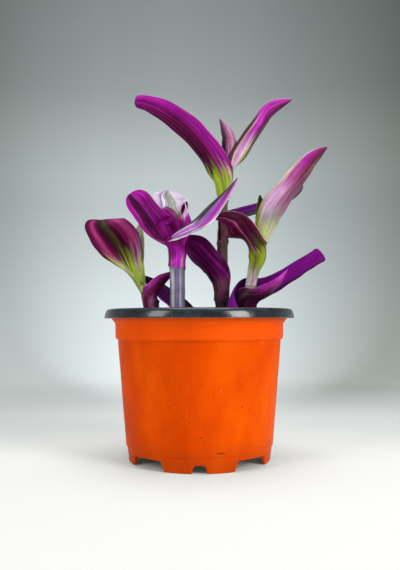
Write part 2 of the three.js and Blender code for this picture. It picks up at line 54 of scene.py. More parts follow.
def weld(bm, distance):
    bmesh.ops.remove_doubles(bm, verts=bm.verts, dist=distance)
    bmesh.ops.recalc_face_normals(bm, faces=bm.faces)


def meshFrom(bm, name):
    mesh = bpy.data.meshes.new(name)
    bm.to_mesh(mesh)
    bm.free()
    return mesh


# Camera, at the photograph's height and angle; place in mm, turns in degrees, focal length in pixels
cameraSetup = {"place": (0.4, -358.0, 75.3), "tiltUp": 3.23, "roll": 0.14, "focal": 640.0,
               "pictureHeight": 570, "sensor": 36.0}


def makeCamera(setup):
    data = bpy.data.cameras.new("camera")
    data.sensor_fit = "VERTICAL"
    data.sensor_height = setup["sensor"]
    data.lens = setup["focal"] / setup["pictureHeight"] * setup["sensor"]
    data.clip_start = 0.01
    data.clip_end = 20
    camera = addObject("camera", data)
    camera.location = metres(*setup["place"])
    camera.rotation_euler = (math.radians(90 + setup["tiltUp"]), math.radians(setup["roll"]), 0)
    bpy.context.scene.camera = camera


makeCamera(cameraSetup)
bpy.context.scene.view_settings.view_transform = "Standard"
print("camera ready")


# Colours, as they look in daylight
palette = {
    "ivory": "#efe2f0", "white": "#faf4f2", "cream": "#e8d3b4", "paleYellow": "#eef0b8",
    "whiteGreen": "#e2e6cc", "palePink": "#e9aade", "paleOrchid": "#fcc6fb", "softPink": "#e58fe0",
    "pink": "#cf55b4", "brightPink": "#e44bdc", "dustyPink": "#c99aac", "mauvePink": "#a8739a",
    "dullRose": "#a05c84", "rose": "#b84a80", "berry": "#8c0f5c", "berryPink": "#a3287e",
    "paleLilac": "#e6cbf0", "softLilac": "#cfa4e2", "lilac": "#a767c6", "lightViolet": "#a257c9",
    "dustyViolet": "#8a5aa8", "orchid": "#d91fd2", "orchidDeep": "#a413b4", "violet": "#8a1fa6",
    "royalViolet": "#7a0b7e", "brightMagenta": "#c01cb2", "magenta": "#9c1089", "violetPlum": "#70147a",
    "plum": "#6b0f62", "wine": "#560c36", "maroon": "#3f0b28", "blackWine": "#2a0618",
    "aubergine": "#3f1038", "night": "#260a25", "blackPurple": "#1f071f", "deepPurple": "#380c3c",
    "darkViolet": "#541154", "deepViolet": "#553068", "olive": "#6b6c1f", "paleOlive": "#a8a34e",
    "darkOlive": "#3b3417", "oliveBrown": "#5a4a2e", "warmOlive": "#7d6540", "leafGreen": "#86a01f",
    "lime": "#a9c033", "brightLime": "#c3e23a", "yellowGreen": "#cbd888", "paleGreen": "#b9c6a4",
    "dustyGreen": "#9c9c80", "greyGreen": "#93a68f", "greyLilac": "#a79aae", "blueGrey": "#7d7e9c",
    "slate": "#4f4b62", "charcoal": "#37333a", "brown": "#5f4038", "mauveBrown": "#7a4a58",
    "darkBrown": "#3a2320", "mauve": "#8d6f9e", "greenGrey": "#5f6f6c", "stemLilac": "#a9a3c6",
    "stemWhite": "#e4e6ee", "stemPink": "#c9a5b4", "stemPinkWhite": "#e9dde2", "hotMagenta": "#bd12b6",
    "deepMagenta": "#8a0a74", "wineRed": "#6e0d44", "inkWine": "#1c0413", "hotPink": "#d24cc4",
}


def linear(text):
    parts = [int(text[i:i + 2], 16) / 255 for i in (1, 3, 5)]
    return [c / 12.92 if c <= 0.04045 else ((c + 0.055) / 1.055) ** 2.4 for c in parts] + [1.0]


def colour(name):
    return linear(palette.get(name, name))


# a ramp is written as places in percent, each with a colour
def readStops(text):
    pairs = [stop.split() for stop in text.split(",")]
    return [(float(place) / 100, name) for place, name in pairs]


# Small helpers for node trees
def addNode(tree, kind, **values):
    node = tree.nodes.new(kind)
    for key, value in values.items():
        setattr(node, key, value)
    return node


def feed(tree, source, target):
    if isinstance(source, (int, float, tuple, list, Vector)):
        target.default_value = source
    else:
        tree.links.new(source, target)


def feedAll(tree, node, values):
    for key, source in values.items():
        feed(tree, source, node.inputs[key])


def mathNode(tree, operation, first, second):
    node = addNode(tree, "ShaderNodeMath", operation=operation)
    feed(tree, first, node.inputs[0])
    feed(tree, second, node.inputs[1])
    return node.outputs[0]


def times(tree, first, second):
    return mathNode(tree, "MULTIPLY", first, second)


def plus(tree, first, second):
    return mathNode(tree, "ADD", first, second)


def minus(tree, first, second):
    return mathNode(tree, "SUBTRACT", first, second)


def vectorNode(tree, operation, first, second=(0, 0, 0)):
    node = addNode(tree, "ShaderNodeVectorMath", operation=operation)
    feed(tree, first, node.inputs[0])
    feed(tree, second, node.inputs[1])
    return node.outputs["Value" if operation in ("LENGTH", "DISTANCE") else "Vector"]


def splitVector(tree, vector):
    node = addNode(tree, "ShaderNodeSeparateXYZ")
    tree.links.new(vector, node.inputs[0])
    return node.outputs


def objectPlace(tree):
    return addNode(tree, "ShaderNodeTexCoord").outputs["Object"]


def mixColours(tree, factor, first, second, blend="MIX"):
    node = addNode(tree, "ShaderNodeMix", data_type="RGBA", blend_type=blend)
    feed(tree, factor, node.inputs[0])
    feed(tree, first, node.inputs[6])
    feed(tree, second, node.inputs[7])
    return node.outputs[2]


def rangeNode(tree, value, fromLow, fromHigh, toLow=0.0, toHigh=1.0, smooth=False):
    node = addNode(tree, "ShaderNodeMapRange")
    if smooth:
        node.interpolation_type = "SMOOTHSTEP"
    for i, source in enumerate((value, fromLow, fromHigh, toLow, toHigh)):
        feed(tree, source, node.inputs[i])
    return node.outputs[0]


def rampNode(tree, value, text):
    node = addNode(tree, "ShaderNodeValToRGB")
    ramp = node.color_ramp
    while len(ramp.elements) > 1:
        ramp.elements.remove(ramp.elements[-1])
    stops = readStops(text)
    ramp.elements[0].position = stops[0][0]
    ramp.elements[0].color = colour(stops[0][1])
    for place, name in stops[1:]:
        ramp.elements.new(place).color = colour(name)
    feed(tree, value, node.inputs[0])
    return node.outputs[0]


def noiseNode(tree, vector, scale, detail=3.0, rough=0.5):
    node = addNode(tree, "ShaderNodeTexNoise")
    feedAll(tree, node, {"Vector": vector, "Scale": scale, "Detail": detail, "Roughness": rough})
    return node.outputs["Fac"]


def stretched(tree, vector, scale, offset=(0, 0, 0)):
    node = addNode(tree, "ShaderNodeMapping")
    feedAll(tree, node, {"Vector": vector, "Scale": scale, "Location": offset})
    return node.outputs[0]


def newMaterial(name):
    material = bpy.data.materials.new(name)
    material.use_nodes = True
    tree = material.node_tree
    return material, tree, tree.nodes["Principled BSDF"]


# inputs and outputs are all plain numbers
def newGroup(name, inputs, outputs):
    group = bpy.data.node_groups.new(name, "ShaderNodeTree")
    for direction, labels in (("INPUT", inputs), ("OUTPUT", outputs)):
        for label in labels:
            group.interface.new_socket(label, in_out=direction, socket_type="NodeSocketFloat")
    return group, group.nodes.new("NodeGroupInput").outputs, group.nodes.new("NodeGroupOutput").inputs


def placeGroup(tree, group, values):
    node = addNode(tree, "ShaderNodeGroup", node_tree=group)
    feedAll(tree, node, values)
    return node.outputs


def bumpNode(tree, height, strength, distance):
    node = addNode(tree, "ShaderNodeBump")
    feedAll(tree, node, {"Height": height, "Strength": strength, "Distance": distance})
    return node.outputs[0]


# The marks that every blade and stem shares: where a point lies, streaks that run lengthways, fine grain.
# Scales are the noise's across and along the blade, levels the part of it that shows
markSetup = {
    "wanderScale": (2.2, 5.0), "streakLevels": (0.38, 0.66), "fineTimes": 3.4, "fineRun": 3.5,
    "fineLevels": (0.36, 0.62), "patchScale": (3.0, 7.0),
}


def makeLengthMarks(setup):
    group, given, out = newGroup(
        "lengthMarks", ["Wander", "Streak Count", "Streak Run"],
        ["Across", "Along", "Streaks", "Fine", "Patches"])
    across, along = splitVector(group, addNode(group, "ShaderNodeUVMap", uv_map="blade").outputs[0])[:2]

    def scaled(acrossScale, alongScale):
        node = addNode(group, "ShaderNodeCombineXYZ")
        feed(group, times(group, across, acrossScale), node.inputs[0])
        feed(group, times(group, along, alongScale), node.inputs[1])
        return node.outputs[0]

    slow = noiseNode(group, scaled(*setup["wanderScale"]), 1.0, 2.0)
    shift = times(group, minus(group, slow, 0.5), given["Wander"])
    feed(group, plus(group, across, times(group, shift, 2.0)), out["Across"])
    feed(group, along, out["Along"])
    coarse = noiseNode(group, scaled(given["Streak Count"], given["Streak Run"]), 1.0, 2.5, 0.6)
    feed(group, rangeNode(group, coarse, *setup["streakLevels"]), out["Streaks"])
    fineCount = times(group, given["Streak Count"], setup["fineTimes"])
    fine = noiseNode(group, scaled(fineCount, setup["fineRun"]), 1.0, 2.0)
    feed(group, rangeNode(group, fine, *setup["fineLevels"]), out["Fine"])
    feed(group, noiseNode(group, scaled(*setup["patchScale"]), 1.0, 3.0, 0.6), out["Patches"])
    return group


# The glitter of the large surface cells
def makeCellGrain():
    group, given, out = newGroup("cellGrain", ["Size"], ["Cells", "Height"])
    cells = addNode(group, "ShaderNodeTexVoronoi")
    feedAll(group, cells, {"Vector": objectPlace(group), "Scale": given["Size"]})
    feed(group, cells.outputs["Color"], out["Cells"])
    feed(group, minus(group, 1.0, cells.outputs["Distance"]), out["Height"])
    return group


lengthMarks = makeLengthMarks(markSetup)
cellGrain = makeCellGrain()

# What a blade or stem has where its own look says nothing: how far the bands wander, the number of streaks
# and their run, how ragged the bands end, streaks and shade with their strength, brightness and surface
plainLook = {
    "wander": 0.03, "count": 12, "run": 1.4, "ragged": 0.12, "streak": ("pink", 0.3),
    "shade": ("night", 0.35), "tone": 1.12, "rough": 0.36, "gloss": 0.04, "bump": 0.5, "bumpDepth": 0.00012,
    "cells": 2400.0,
}


# middle is a ramp across the blade. Base and each band hold a ramp and where, along the blade, the change
# to it starts and ends: base lies on the sheath's side of its change, and a band on the side of its end
def bladeFinish(name, ownLook):
    look = {**plainLook, **ownLook}
    material, tree, shader = newMaterial(name)
    marks = placeGroup(tree, lengthMarks, {
        "Wander": look["wander"], "Streak Count": look["count"], "Streak Run": look["run"]})
    across = marks["Across"]
    along = plus(tree, marks["Along"], times(tree, minus(tree, marks["Streaks"], 0.5), look["ragged"]))
    shown = rampNode(tree, across, look["middle"])
    if "base" in look:
        stops, start, end = look["base"]
        past = rangeNode(tree, along, start, end, smooth=True)
        shown = mixColours(tree, past, rampNode(tree, across, stops), shown)
    for stops, start, end in look.get("bands", []):
        past = rangeNode(tree, along, start, end, smooth=True)
        shown = mixColours(tree, past, shown, rampNode(tree, across, stops))
    streakName, streakAmount = look["streak"]
    bright = times(tree, mathNode(tree, "POWER", marks["Streaks"], 2.0), streakAmount)
    shown = mixColours(tree, bright, shown, colour(streakName))
    shadeName, shadeAmount = look["shade"]
    dark = times(tree, minus(tree, 1.0, marks["Fine"]), shadeAmount)
    shown = mixColours(tree, dark, shown, colour(shadeName))
    patches = rangeNode(tree, marks["Patches"], 0.3, 0.7, 0.7, 1.2)
    shown = mixColours(tree, 1.0, shown, patches, "MULTIPLY")
    shown = mixColours(tree, 1.0, shown, [look["tone"]] * 3 + [1.0], "MULTIPLY")
    cells = placeGroup(tree, cellGrain, {"Size": look["cells"]})
    height = plus(tree, marks["Fine"], times(tree, cells["Height"], 0.35))
    feedAll(tree, shader, {
        "Base Color": shown, "Specular IOR Level": look["gloss"],
        "Roughness": rangeNode(tree, cells["Cells"], 0.0, 1.0, look["rough"] - 0.07, look["rough"] + 0.1),
        "Normal": bumpNode(tree, height, look["bump"], look["bumpDepth"])})
    return material


# Blades and stems
bladeShape = {
    "acrossSteps": 44, "alongSteps": 96,
    "thickness": 0.58, "least": 0.22,  # thickness and least half width in mm
    "frill": 0.16, "groove": 0.16, "wave": 0, "waves": 3,  # heights in mm, and the number of slow waves
    "blunt": False, "tipStart": 0.86,  # a blunt blade is rounded off from here on
}


# a smooth curve through all rows; place runs from 0 at the sheath to 1 at the tip
def alongRows(rows, place):
    last = len(rows) - 1
    at = min(max(place, 0.0), 1.0) * last
    i = min(int(at), last - 1)
    t = at - i
    before, after = rows[max(i - 1, 0)], rows[min(i + 2, last)]
    shown = []
    for p0, p1, p2, p3 in zip(before, rows[i], rows[i + 1], after):
        cubic = (3 * p1 - p0 - 3 * p2 + p3) * t * t * t
        square = (2 * p0 - 5 * p1 + 4 * p2 - p3) * t * t
        shown.append(0.5 * (2 * p1 + (p2 - p0) * t + square + cubic))
    return shown


def bladeFrame(leaf, place):
    row, back, ahead = (alongRows(leaf["rows"], p) for p in (place, place - 0.01, place + 0.01))
    tangent = (Vector(ahead[0:3]) - Vector(back[0:3])).normalized()
    face = Vector(row[3:6])
    face = (face - tangent * face.dot(tangent)).normalized()
    ending = max(0.0, (place - leaf["tipStart"]) / (1 - leaf["tipStart"])) if leaf["blunt"] else 0.0
    half = max(row[6] * math.sqrt(max(0.0, 1 - ending * ending)), leaf["least"])
    bend = math.radians(row[7])
    bend = 0.02 if abs(bend) < 0.02 else bend  # a flat blade is bent a little too
    return Vector(row[0:3]), face, tangent.cross(face), half, bend, row[8]


# s runs from -1 at one margin to 1 at the other
def bladePoint(leaf, place, s, frameHere):
    point, face, side, half, bend, shift = frameHere
    radius = half / bend
    angle = bend * (s + shift)
    outward = face * math.cos(angle) - side * math.sin(angle)
    at = point + side * radius * math.sin(angle) + face * radius * (1 - math.cos(angle))
    fading = min(place * 3, 1, (1 - place) * 4)
    ripple = leaf["wave"] * math.sin(place * math.pi * 2 * leaf["waves"] + s * 1.7) * s * s
    frill = leaf["frill"] * math.sin(place * 41 + s * 2.3) * abs(s) ** 5
    groove = leaf["groove"] * math.exp(-((s / 0.05) ** 2)) * min(1, (1 - place) * 5)
    return at + outward * ((ripple + frill) * fading - groove), outward


# keeps each vertex's place on the blade as a UV map
def storePlaces(bm, places):
    layer = bm.loops.layers.uv.new("blade")
    for face in bm.faces:
        for loop in face.loops:
            loop[layer].uv = [loop.vert[place] for place in places]
        face.smooth = True


def showPiece(name, mesh, materials, node):
    piece = addObject(name, mesh)
    for material in materials:
        mesh.materials.append(material)
    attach(piece, "root")
    if node:
        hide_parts(node)


# a row: place x, y, z in mm, direction of the inner face x, y, z, half width in mm, bend of each half
# in degrees and, where it isn't 0, how far the blade is shifted round that bend in half widths
def makeBlade(name, ownShape):
    leaf = {**bladeShape, **ownShape}
    leaf["rows"] = [(row + (0,))[:9] for row in leaf["rows"]]
    bm = bmesh.new()
    places = [bm.verts.layers.float.new(label) for label in ("across", "along")]
    frames = {}
    for side in (1, -1):
        made = bmesh.ops.create_grid(
            bm, x_segments=leaf["acrossSteps"], y_segments=leaf["alongSteps"], size=1.0)
        sheet = set(made["verts"])
        for vert in made["verts"]:
            s, g = vert.co.x, (vert.co.y + 1) / 2
            place = 1 - (1 - g) ** 1.35 if leaf["blunt"] else g
            key = round(g * 10000)
            if key not in frames:
                frames[key] = bladeFrame(leaf, place)
            at, outward = bladePoint(leaf, place, s, frames[key])
            thick = leaf["thickness"] * (1 - 0.6 * abs(s) ** 4) * min(1, 0.45 + (1 - place) * 6)
            vert.co = metres(*(at + outward * side * thick / 2))
            vert[places[0]], vert[places[1]] = (s + 1) / 2, place
        faces = [f for f in bm.faces if f.verts[0] in sheet]
        for face in faces:
            face.material_index = 0 if side == 1 else 1
        if side == -1:
            bmesh.ops.reverse_faces(bm, faces=faces)
    bmesh.ops.bridge_loops(bm, edges=[e for e in bm.edges if e.is_boundary])
    storePlaces(bm, places)
    finishes = [bladeFinish(name + "Inner", leaf["inner"]), bladeFinish(name + "Outer", leaf["outer"])]
    showPiece(name + "Blade", meshFrom(bm, name), finishes, leaf.get("node", name))


def stemRow(rows, place):
    heights = [row[2] for row in rows]
    z = heights[0] + (heights[-1] - heights[0]) * place
    i = max(k for k in range(len(rows) - 1) if heights[k] <= z + 1e-9)
    t = (z - heights[i]) / (heights[i + 1] - heights[i])
    low, high = rows[i], rows[i + 1]
    smooth = t * t * (3 - 2 * t)
    x, y = (low[k] + (high[k] - low[k]) * t for k in (0, 1))
    return x, y, z, low[3] + (high[3] - low[3]) * smooth


# a row: place x, y, z and radius, all in mm
def makeStem(name, stem):
    rows = stem["rows"]
    bm = bmesh.new()
    places = [bm.verts.layers.float.new(label) for label in ("across", "along")]
    steps = int((rows[-1][2] - rows[0][2]) / 0.45)
    made = bmesh.ops.create_grid(bm, x_segments=40, y_segments=steps, size=1.0)
    for vert in made["verts"]:
        across, along = (vert.co.x + 1) / 2, (vert.co.y + 1) / 2
        x, y, z, radius = stemRow(rows, along)
        turn = math.pi * (2 * across + 0.5)
        radius *= 1 + 0.012 * math.sin(turn * 9 + z * 0.05) + 0.01 * math.sin(z * 0.7 + turn)
        vert.co = metres(x + radius * math.cos(turn), y + radius * math.sin(turn), z)
        vert[places[0]], vert[places[1]] = across, along
    level = [e for e in bm.edges if e.is_boundary and abs(e.verts[0].co.z - e.verts[1].co.z) < 1e-7]
    tops = [e for e in level if e.verts[0].co.z > rows[-1][2] * mm - 1e-4]
    feet = [e for e in level if e.verts[0].co.z < rows[0][2] * mm + 1e-4]
    for rim in (tops, feet):
        bmesh.ops.edgeloop_fill(bm, edges=rim)
    storePlaces(bm, places)
    weld(bm, 1e-7)
    skin = bladeFinish(name + "Skin", stem["skin"])
    showPiece(name + "Stalk", meshFrom(bm, name), [skin], name)


# Stems
makeStem("stem_front", {
    "slot": "stem_pale",
    "rows": [
        (-11.6, -12, 48.5, 3.7), (-11.6, -12, 70, 4.1), (-11.7, -12, 90, 4.1), (-11.8, -12, 102, 4.1),
        (-11.8, -12, 104.2, 4.45), (-11.8, -12, 105.2, 4.4), (-11.8, -12, 105.6, 3.5),
        (-11.7, -12, 109, 3.4), (-11.6, -12, 110.5, 2.6)],
    "skin": {
        # the white stripe at 40 is a painted highlight on the stem's left, the charcoal at 69 painted shade
        # along its right edge
        "middle": "0 greenGrey, 25 mauveBrown, 29 greenGrey, 35 stemLilac, 40 stemWhite, 44 greyLilac, "
            "47 slate, 50 dustyViolet, 53 slate, 56.5 stemLilac, 60 blueGrey, 64 greenGrey, 69 charcoal, "
            "78 greenGrey",
        "bands": [
            ("0 mauve", 0.9, 0.93)],
        "streak": ("stemWhite", 0.16), "shade": ("slate", 0.3), "count": 26, "run": 2, "rough": 0.26,
        "gloss": 0.4},
})

makeStem("stem_tall", {
    "slot": "stem_dark",
    "rows": [
        (12.4, 3, 48.5, 3.3), (12.5, 3, 70, 3.5), (12.6, 3, 84, 3.5), (12.7, 3, 86.6, 3.95),
        (12.8, 3, 87.6, 3.9), (12.8, 3, 88.1, 3.1), (13.1, 3, 104, 3.05), (13.2, 3, 117.6, 3.05),
        (13.2, 3, 119.2, 3.4), (13.2, 3, 120.2, 3.4), (13.3, 3, 120.8, 1.7), (13.7, 3, 128, 1.5),
        (13.7, 3, 136, 2.5), (13.9, 3, 142.2, 2.5), (14, 3, 143.4, 2.9), (14, 3, 144.1, 2.8),
        (14, 3, 144.4, 2.2), (14.1, 3, 147, 1.7)],
    "skin": {
        "middle": "0 brown, 26 darkBrown, 34 mauveBrown, 42 brown, 50 mauveBrown, 58 oliveBrown, "
            "66 warmOlive, 73 oliveBrown, 80 brown",
        "base": ("0 wine, 40 darkBrown, 60 maroon, 100 wine", 0.36, 0.42),
        "streak": ("dullRose", 0.25), "shade": ("darkBrown", 0.35), "count": 24, "run": 3, "rough": 0.36,
        "gloss": 0.3},
})

makeStem("stem_right", {
    "slot": "stem_pale",
    "rows": [
        (25.2, -8, 48.5, 2.6), (25.4, -8, 70, 2.8), (26, -8, 76, 2.5), (26.6, -8, 82, 2.35),
        (27.6, -8, 91.6, 2.6), (27.9, -8, 93.4, 2.95), (28.1, -8, 94.4, 2.7), (28.2, -8, 95, 1.8),
        (29.6, -8, 101, 1.8), (30.6, -8, 105.4, 1.2)],
    "skin": {
        "middle": "0 whiteGreen, 50 stemPink, 75 stemPinkWhite, 100 whiteGreen",
        "streak": ("dustyPink", 0.3), "shade": ("brown", 0.3), "count": 18, "run": 2},
})

makeStem("stem_left", {
    "slot": "stem_pale",
    "rows": [
        (-24.4, -2, 48.5, 2.9), (-25, -2, 70, 2.7), (-26.1, -2, 76, 2.4), (-26.9, -2, 80, 2.3),
        (-28, -2, 86.5, 2), (-28.8, -2.1, 89.6, 1.7), (-29.3, -2.2, 91.4, 1.2)],
    "skin": {
        "middle": "0 stemPinkWhite, 60 whiteGreen, 80 cream",
        "streak": ("dustyPink", 0.3), "shade": ("brown", 0.25), "count": 16, "run": 2},
})

makeStem("stem_back", {
    "slot": "stem_dark",
    "rows": [
        (2.4, 11, 48.5, 2.8), (2.4, 11, 68, 2.8), (2.2, 11, 71.8, 2.7), (2.1, 11, 73.6, 2)],
    "skin": {
        "middle": "0 brown",
        "count": 16},
})
print("stems ready")


# Leaves: each has its stations, the look of its inner face and the look of its outer face
# front shoot: a leaf to the right, a broad leaf to the left, a pale leaf behind and a young spike
makeBlade("leaf_front_right", {
    "slot": "leaf_lilac", "wave": 0.3, "waves": 2,
    "rows": [
        (-17.2, -17.6, 117.9, -0.2, -0.85, 0.5, 0.5, 20), (-14.5, -19, 119, -0.3, -0.85, 0.5, 1.6, 30),
        (-10.2, -19.8, 121, -0.35, -0.85, 0.5, 3.4, 40, 0.1),
        (-4.9, -19.8, 123.5, -0.4, -0.85, 0.5, 4.8, 46, 0.15),
        (0.4, -18.6, 126.6, -0.4, -0.85, 0.5, 6.2, 48, 0.24),
        (7.4, -19.4, 133.4, -0.35, -0.85, 0.4, 5, 36, 0.1), (14.8, -19.8, 142.4, -0.4, -0.8, 0.4, 2.8, 40),
        (20.9, -19, 151.8, -0.4, -0.8, 0.4, 0.4, 20)],
    "inner": {
        "middle": "0 darkBrown, 3 night, 12 charcoal, 19 night, 24 mauve, 32 dustyViolet, 40 orchid, "
            "48 violet, 56 brightMagenta, 64 orchidDeep, 72 hotPink, 78 orchid, 86 softPink, 94 ivory",
        "base": ("0 night, 4 charcoal, 8 night, 11 palePink, 15 palePink, 22 lilac, 33 dustyViolet, "
            "42 softPink, 50 lilac, 58 deepViolet, 68 greyLilac, 75 deepViolet, 82 palePink, 90 white, "
            "100 ivory", 0.46, 0.6),
        "bands": [
            ("0 charcoal, 25 brown, 50 maroon, 60 pink, 80 orchid, 100 softPink", 0.76, 0.9)],
        "streak": ("white", 0.25), "shade": ("deepViolet", 0.3)},
    "outer": {
        "middle": "0 ivory, 12 softLilac, 40 deepViolet, 60 magenta, 90 palePink, 100 ivory",
        "streak": ("palePink", 0.35), "shade": ("deepViolet", 0.35)},
})

makeBlade("leaf_front_left", {
    "slot": "leaf_magenta", "wave": 0.3, "waves": 2, "blunt": True,
    "rows": [
        (-16.6, -12, 105.1, 1, 0, 0, 14.4, 171), (-16.2, -12, 107.6, 1, 0, 0, 13.1, 171),
        (-16.3, -12, 112, 1, 0, 0, 13.8, 168), (-17.4, -12.1, 116, 0.98, -0.02, 0.1, 13.4, 126, 0.26),
        (-21.2, -13, 118.4, 0.85, -0.12, 0.5, 14.2, 66, 0.3),
        (-26.8, -16.2, 123.4, 0.62, -0.5, 0.62, 14.6, 58, 0.27),
        (-29.8, -19.2, 131, 0.48, -0.75, 0.5, 10.6, 42, 0.1),
        (-33.6, -22.6, 137.8, 0.4, -0.8, 0.45, 9.6, 36), (-37, -24, 142, 0.3, -0.8, 0.4, 7.4, 40, 0.04)],
    "inner": {
        "middle": "0 magenta, 8 hotMagenta, 22 magenta, 27 rose, 30 plum, 40 maroon, 50 aubergine, "
            "60 maroon, 65 hotMagenta, 68 maroon, 74 plum, 80 deepMagenta, 86 plum, 92 magenta, "
            "97 deepMagenta, 100 dullRose",
        "base": ("10 magenta, 13.5 pink, 16.5 magenta, 22 deepMagenta, 28 hotMagenta, 34 plum, 40 maroon, "
            "50 aubergine, 60 maroon, 68 wineRed, 76 plum, 84 wineRed, 92 deepMagenta, "
            "100 magenta", 0.42, 0.6),
        "bands": [
            ("0 hotMagenta, 20 magenta, 30 plum, 44 aubergine, 54 plum, 62 magenta, 80 hotMagenta, "
             "100 brightMagenta", 0.84, 0.95)],
        "streak": ("hotPink", 0.2), "shade": ("inkWine", 0.4), "count": 15},
    "outer": {
        "middle": "0 magenta, 50 plum, 100 magenta",
        "base": ("0 maroon, 5 wineRed, 10 deepMagenta, 16 magenta, 20 hotMagenta, 25 magenta, "
            "29 deepMagenta, 34 magenta, 39 wineRed, 43 dullRose, 46 plum, 50 maroon, "
            "80 magenta", 0.36, 0.46),
        # the sheath band paints the round sheath lit: its plum and maroon edges are painted shade, its pale
        # pink lines painted highlights
        "bands": [
            ("0 plum, 6 deepMagenta, 11 dullRose, 14 dustyPink, 17 pink, 19.5 orchidDeep, 23 orchid, "
             "25 brightPink, 28 hotMagenta, 32 pink, 34.5 hotPink, 38 dullRose, 42 plum, 46 wineRed, "
             "50 maroon, 80 magenta", 0.24, 0.14)],
        "streak": ("brightPink", 0.3), "shade": ("plum", 0.45), "count": 26},
})

makeBlade("leaf_front_pale", {
    "slot": "leaf_pale", "wave": 0.3, "waves": 1.5, "blunt": True,
    "rows": [
        (-11.2, -9, 113, 0, -1, 0, 9.4, 181), (-10.8, -8.6, 118, 0, -1, 0, 11, 181),
        (-9.6, -6.8, 123, 0, -1, 0, 16, 181), (-9.6, -5.8, 127.4, 0, -1, 0.05, 17, 178),
        (-11.6, -4.8, 130.8, 0, -0.97, 0.2, 11.6, 96, 0.16), (-15, -3, 134.6, 0, -0.95, 0.3, 10, 52, 0.16),
        (-17, -1, 139.2, 0, -0.92, 0.4, 11, 40, 0.14), (-17.4, 0.4, 142.6, 0, -0.92, 0.4, 11, 36, 0.12),
        (-17.2, 1, 146.2, 0, -0.92, 0.4, 8.6, 36, -0.06),
        (-17.2, 1.6, 149.4, 0, -0.92, 0.4, 5.2, 36, -0.2)],
    "inner": {
        "middle": "10 ivory, 20 softLilac, 26 slate, 29 ivory, 34 ivory, 37 slate, 39 ivory, 42 slate, "
            "45 greyLilac, 50 greyGreen, 56 paleGreen, 61 greyGreen, 65 ivory, 86 paleLilac, 100 ivory",
        "base": ("0 palePink, 20 softPink, 50 paleLilac, 80 paleLilac, 100 palePink", 0.41, 0.45),
        "streak": ("white", 0.3), "shade": ("greyLilac", 0.3), "rough": 0.42},
    "outer": {
        "middle": "0 ivory, 50 paleLilac, 100 ivory",
        "base": ("0 wineRed, 5 deepMagenta, 20 wineRed, 50 maroon, 70 palePink, 80 ivory, 90 paleLilac, "
            "100 dustyPink", 0.42, 0.46),
        "bands": [
            ("0 wineRed, 5 deepMagenta, 20 wineRed, 50 maroon, 76 wineRed, 85 hotMagenta, 93 deepMagenta, "
             "100 wineRed", 0.38, 0.33)],
        "streak": ("hotPink", 0.2), "shade": ("inkWine", 0.35), "count": 18},
})

makeBlade("leaf_front_spike", {
    "slot": "leaf_magenta",
    "rows": [
        (-8, -8.6, 128, 0, -1, 0, 1.6, 110), (-7.9, -8.6, 131.5, 0, -1, 0, 2.4, 104),
        (-8.1, -8.4, 136, 0, -1, 0, 3.3, 96), (-7.4, -8, 139, 0, -1, 0, 2.2, 80),
        (-6.5, -8, 141.2, 0, -1, 0, 0.4, 60)],
    "inner": {
        "middle": "0 palePink, 8 brightMagenta, 20 deepMagenta, 40 wineRed, 56 blackWine, 70 wineRed, "
            "90 magenta, 100 palePink",
        "streak": ("rose", 0.2), "shade": ("inkWine", 0.4)},
    "outer": {
        "middle": "0 palePink, 12 magenta, 50 wineRed, 88 magenta, 100 palePink",
        "streak": ("rose", 0.3), "shade": ("inkWine", 0.4)},
})

# tall shoot: a low leaf behind the front shoot, one to the right, and the three of its head
makeBlade("leaf_tall_low", {
    "slot": "leaf_dark", "blunt": True,
    "rows": [
        (12.7, -1.2, 87.2, 0, 1, 0, 12.9, 168), (12.7, -1.1, 89.4, 0, 1, 0, 12.1, 168),
        (12.7, -1.2, 93, 0, 1, 0, 12, 160), (11.4, -2.1, 99.4, 0.15, 1, 0.05, 11, 106, 0.04),
        (6.6, -3.1, 106.8, 0.3, 0.9, 0.3, 9, 56, 0.14), (-2, -0.8, 114.6, 0.35, 0.8, 0.45, 9.4, 40),
        (-10, 2, 121.6, 0.35, 0.8, 0.5, 5, 30)],
    "inner": {
        "middle": "0 plum, 50 aubergine, 100 plum",
        "streak": ("violet", 0.25), "count": 16},
    "outer": {
        "middle": "0 plum, 20 night, 27 magenta, 33 night, 42 plum, 50 blackWine, 58 deepMagenta, "
            "66 deepPurple, 78 plum, 88 deepPurple, 100 plum",
        "base": ("0 oliveBrown, 12 brown, 24 dullRose, 34 mauveBrown, 50 mauveBrown, 80 brown", 0.36, 0.54),
        "bands": [
            ("0 blackPurple, 25 deepPurple, 40 deepMagenta, 50 darkViolet, 62 magenta, "
             "80 violetPlum", 0.7, 1)],
        "streak": ("deepMagenta", 0.45), "shade": ("blackPurple", 0.45), "count": 16},
})

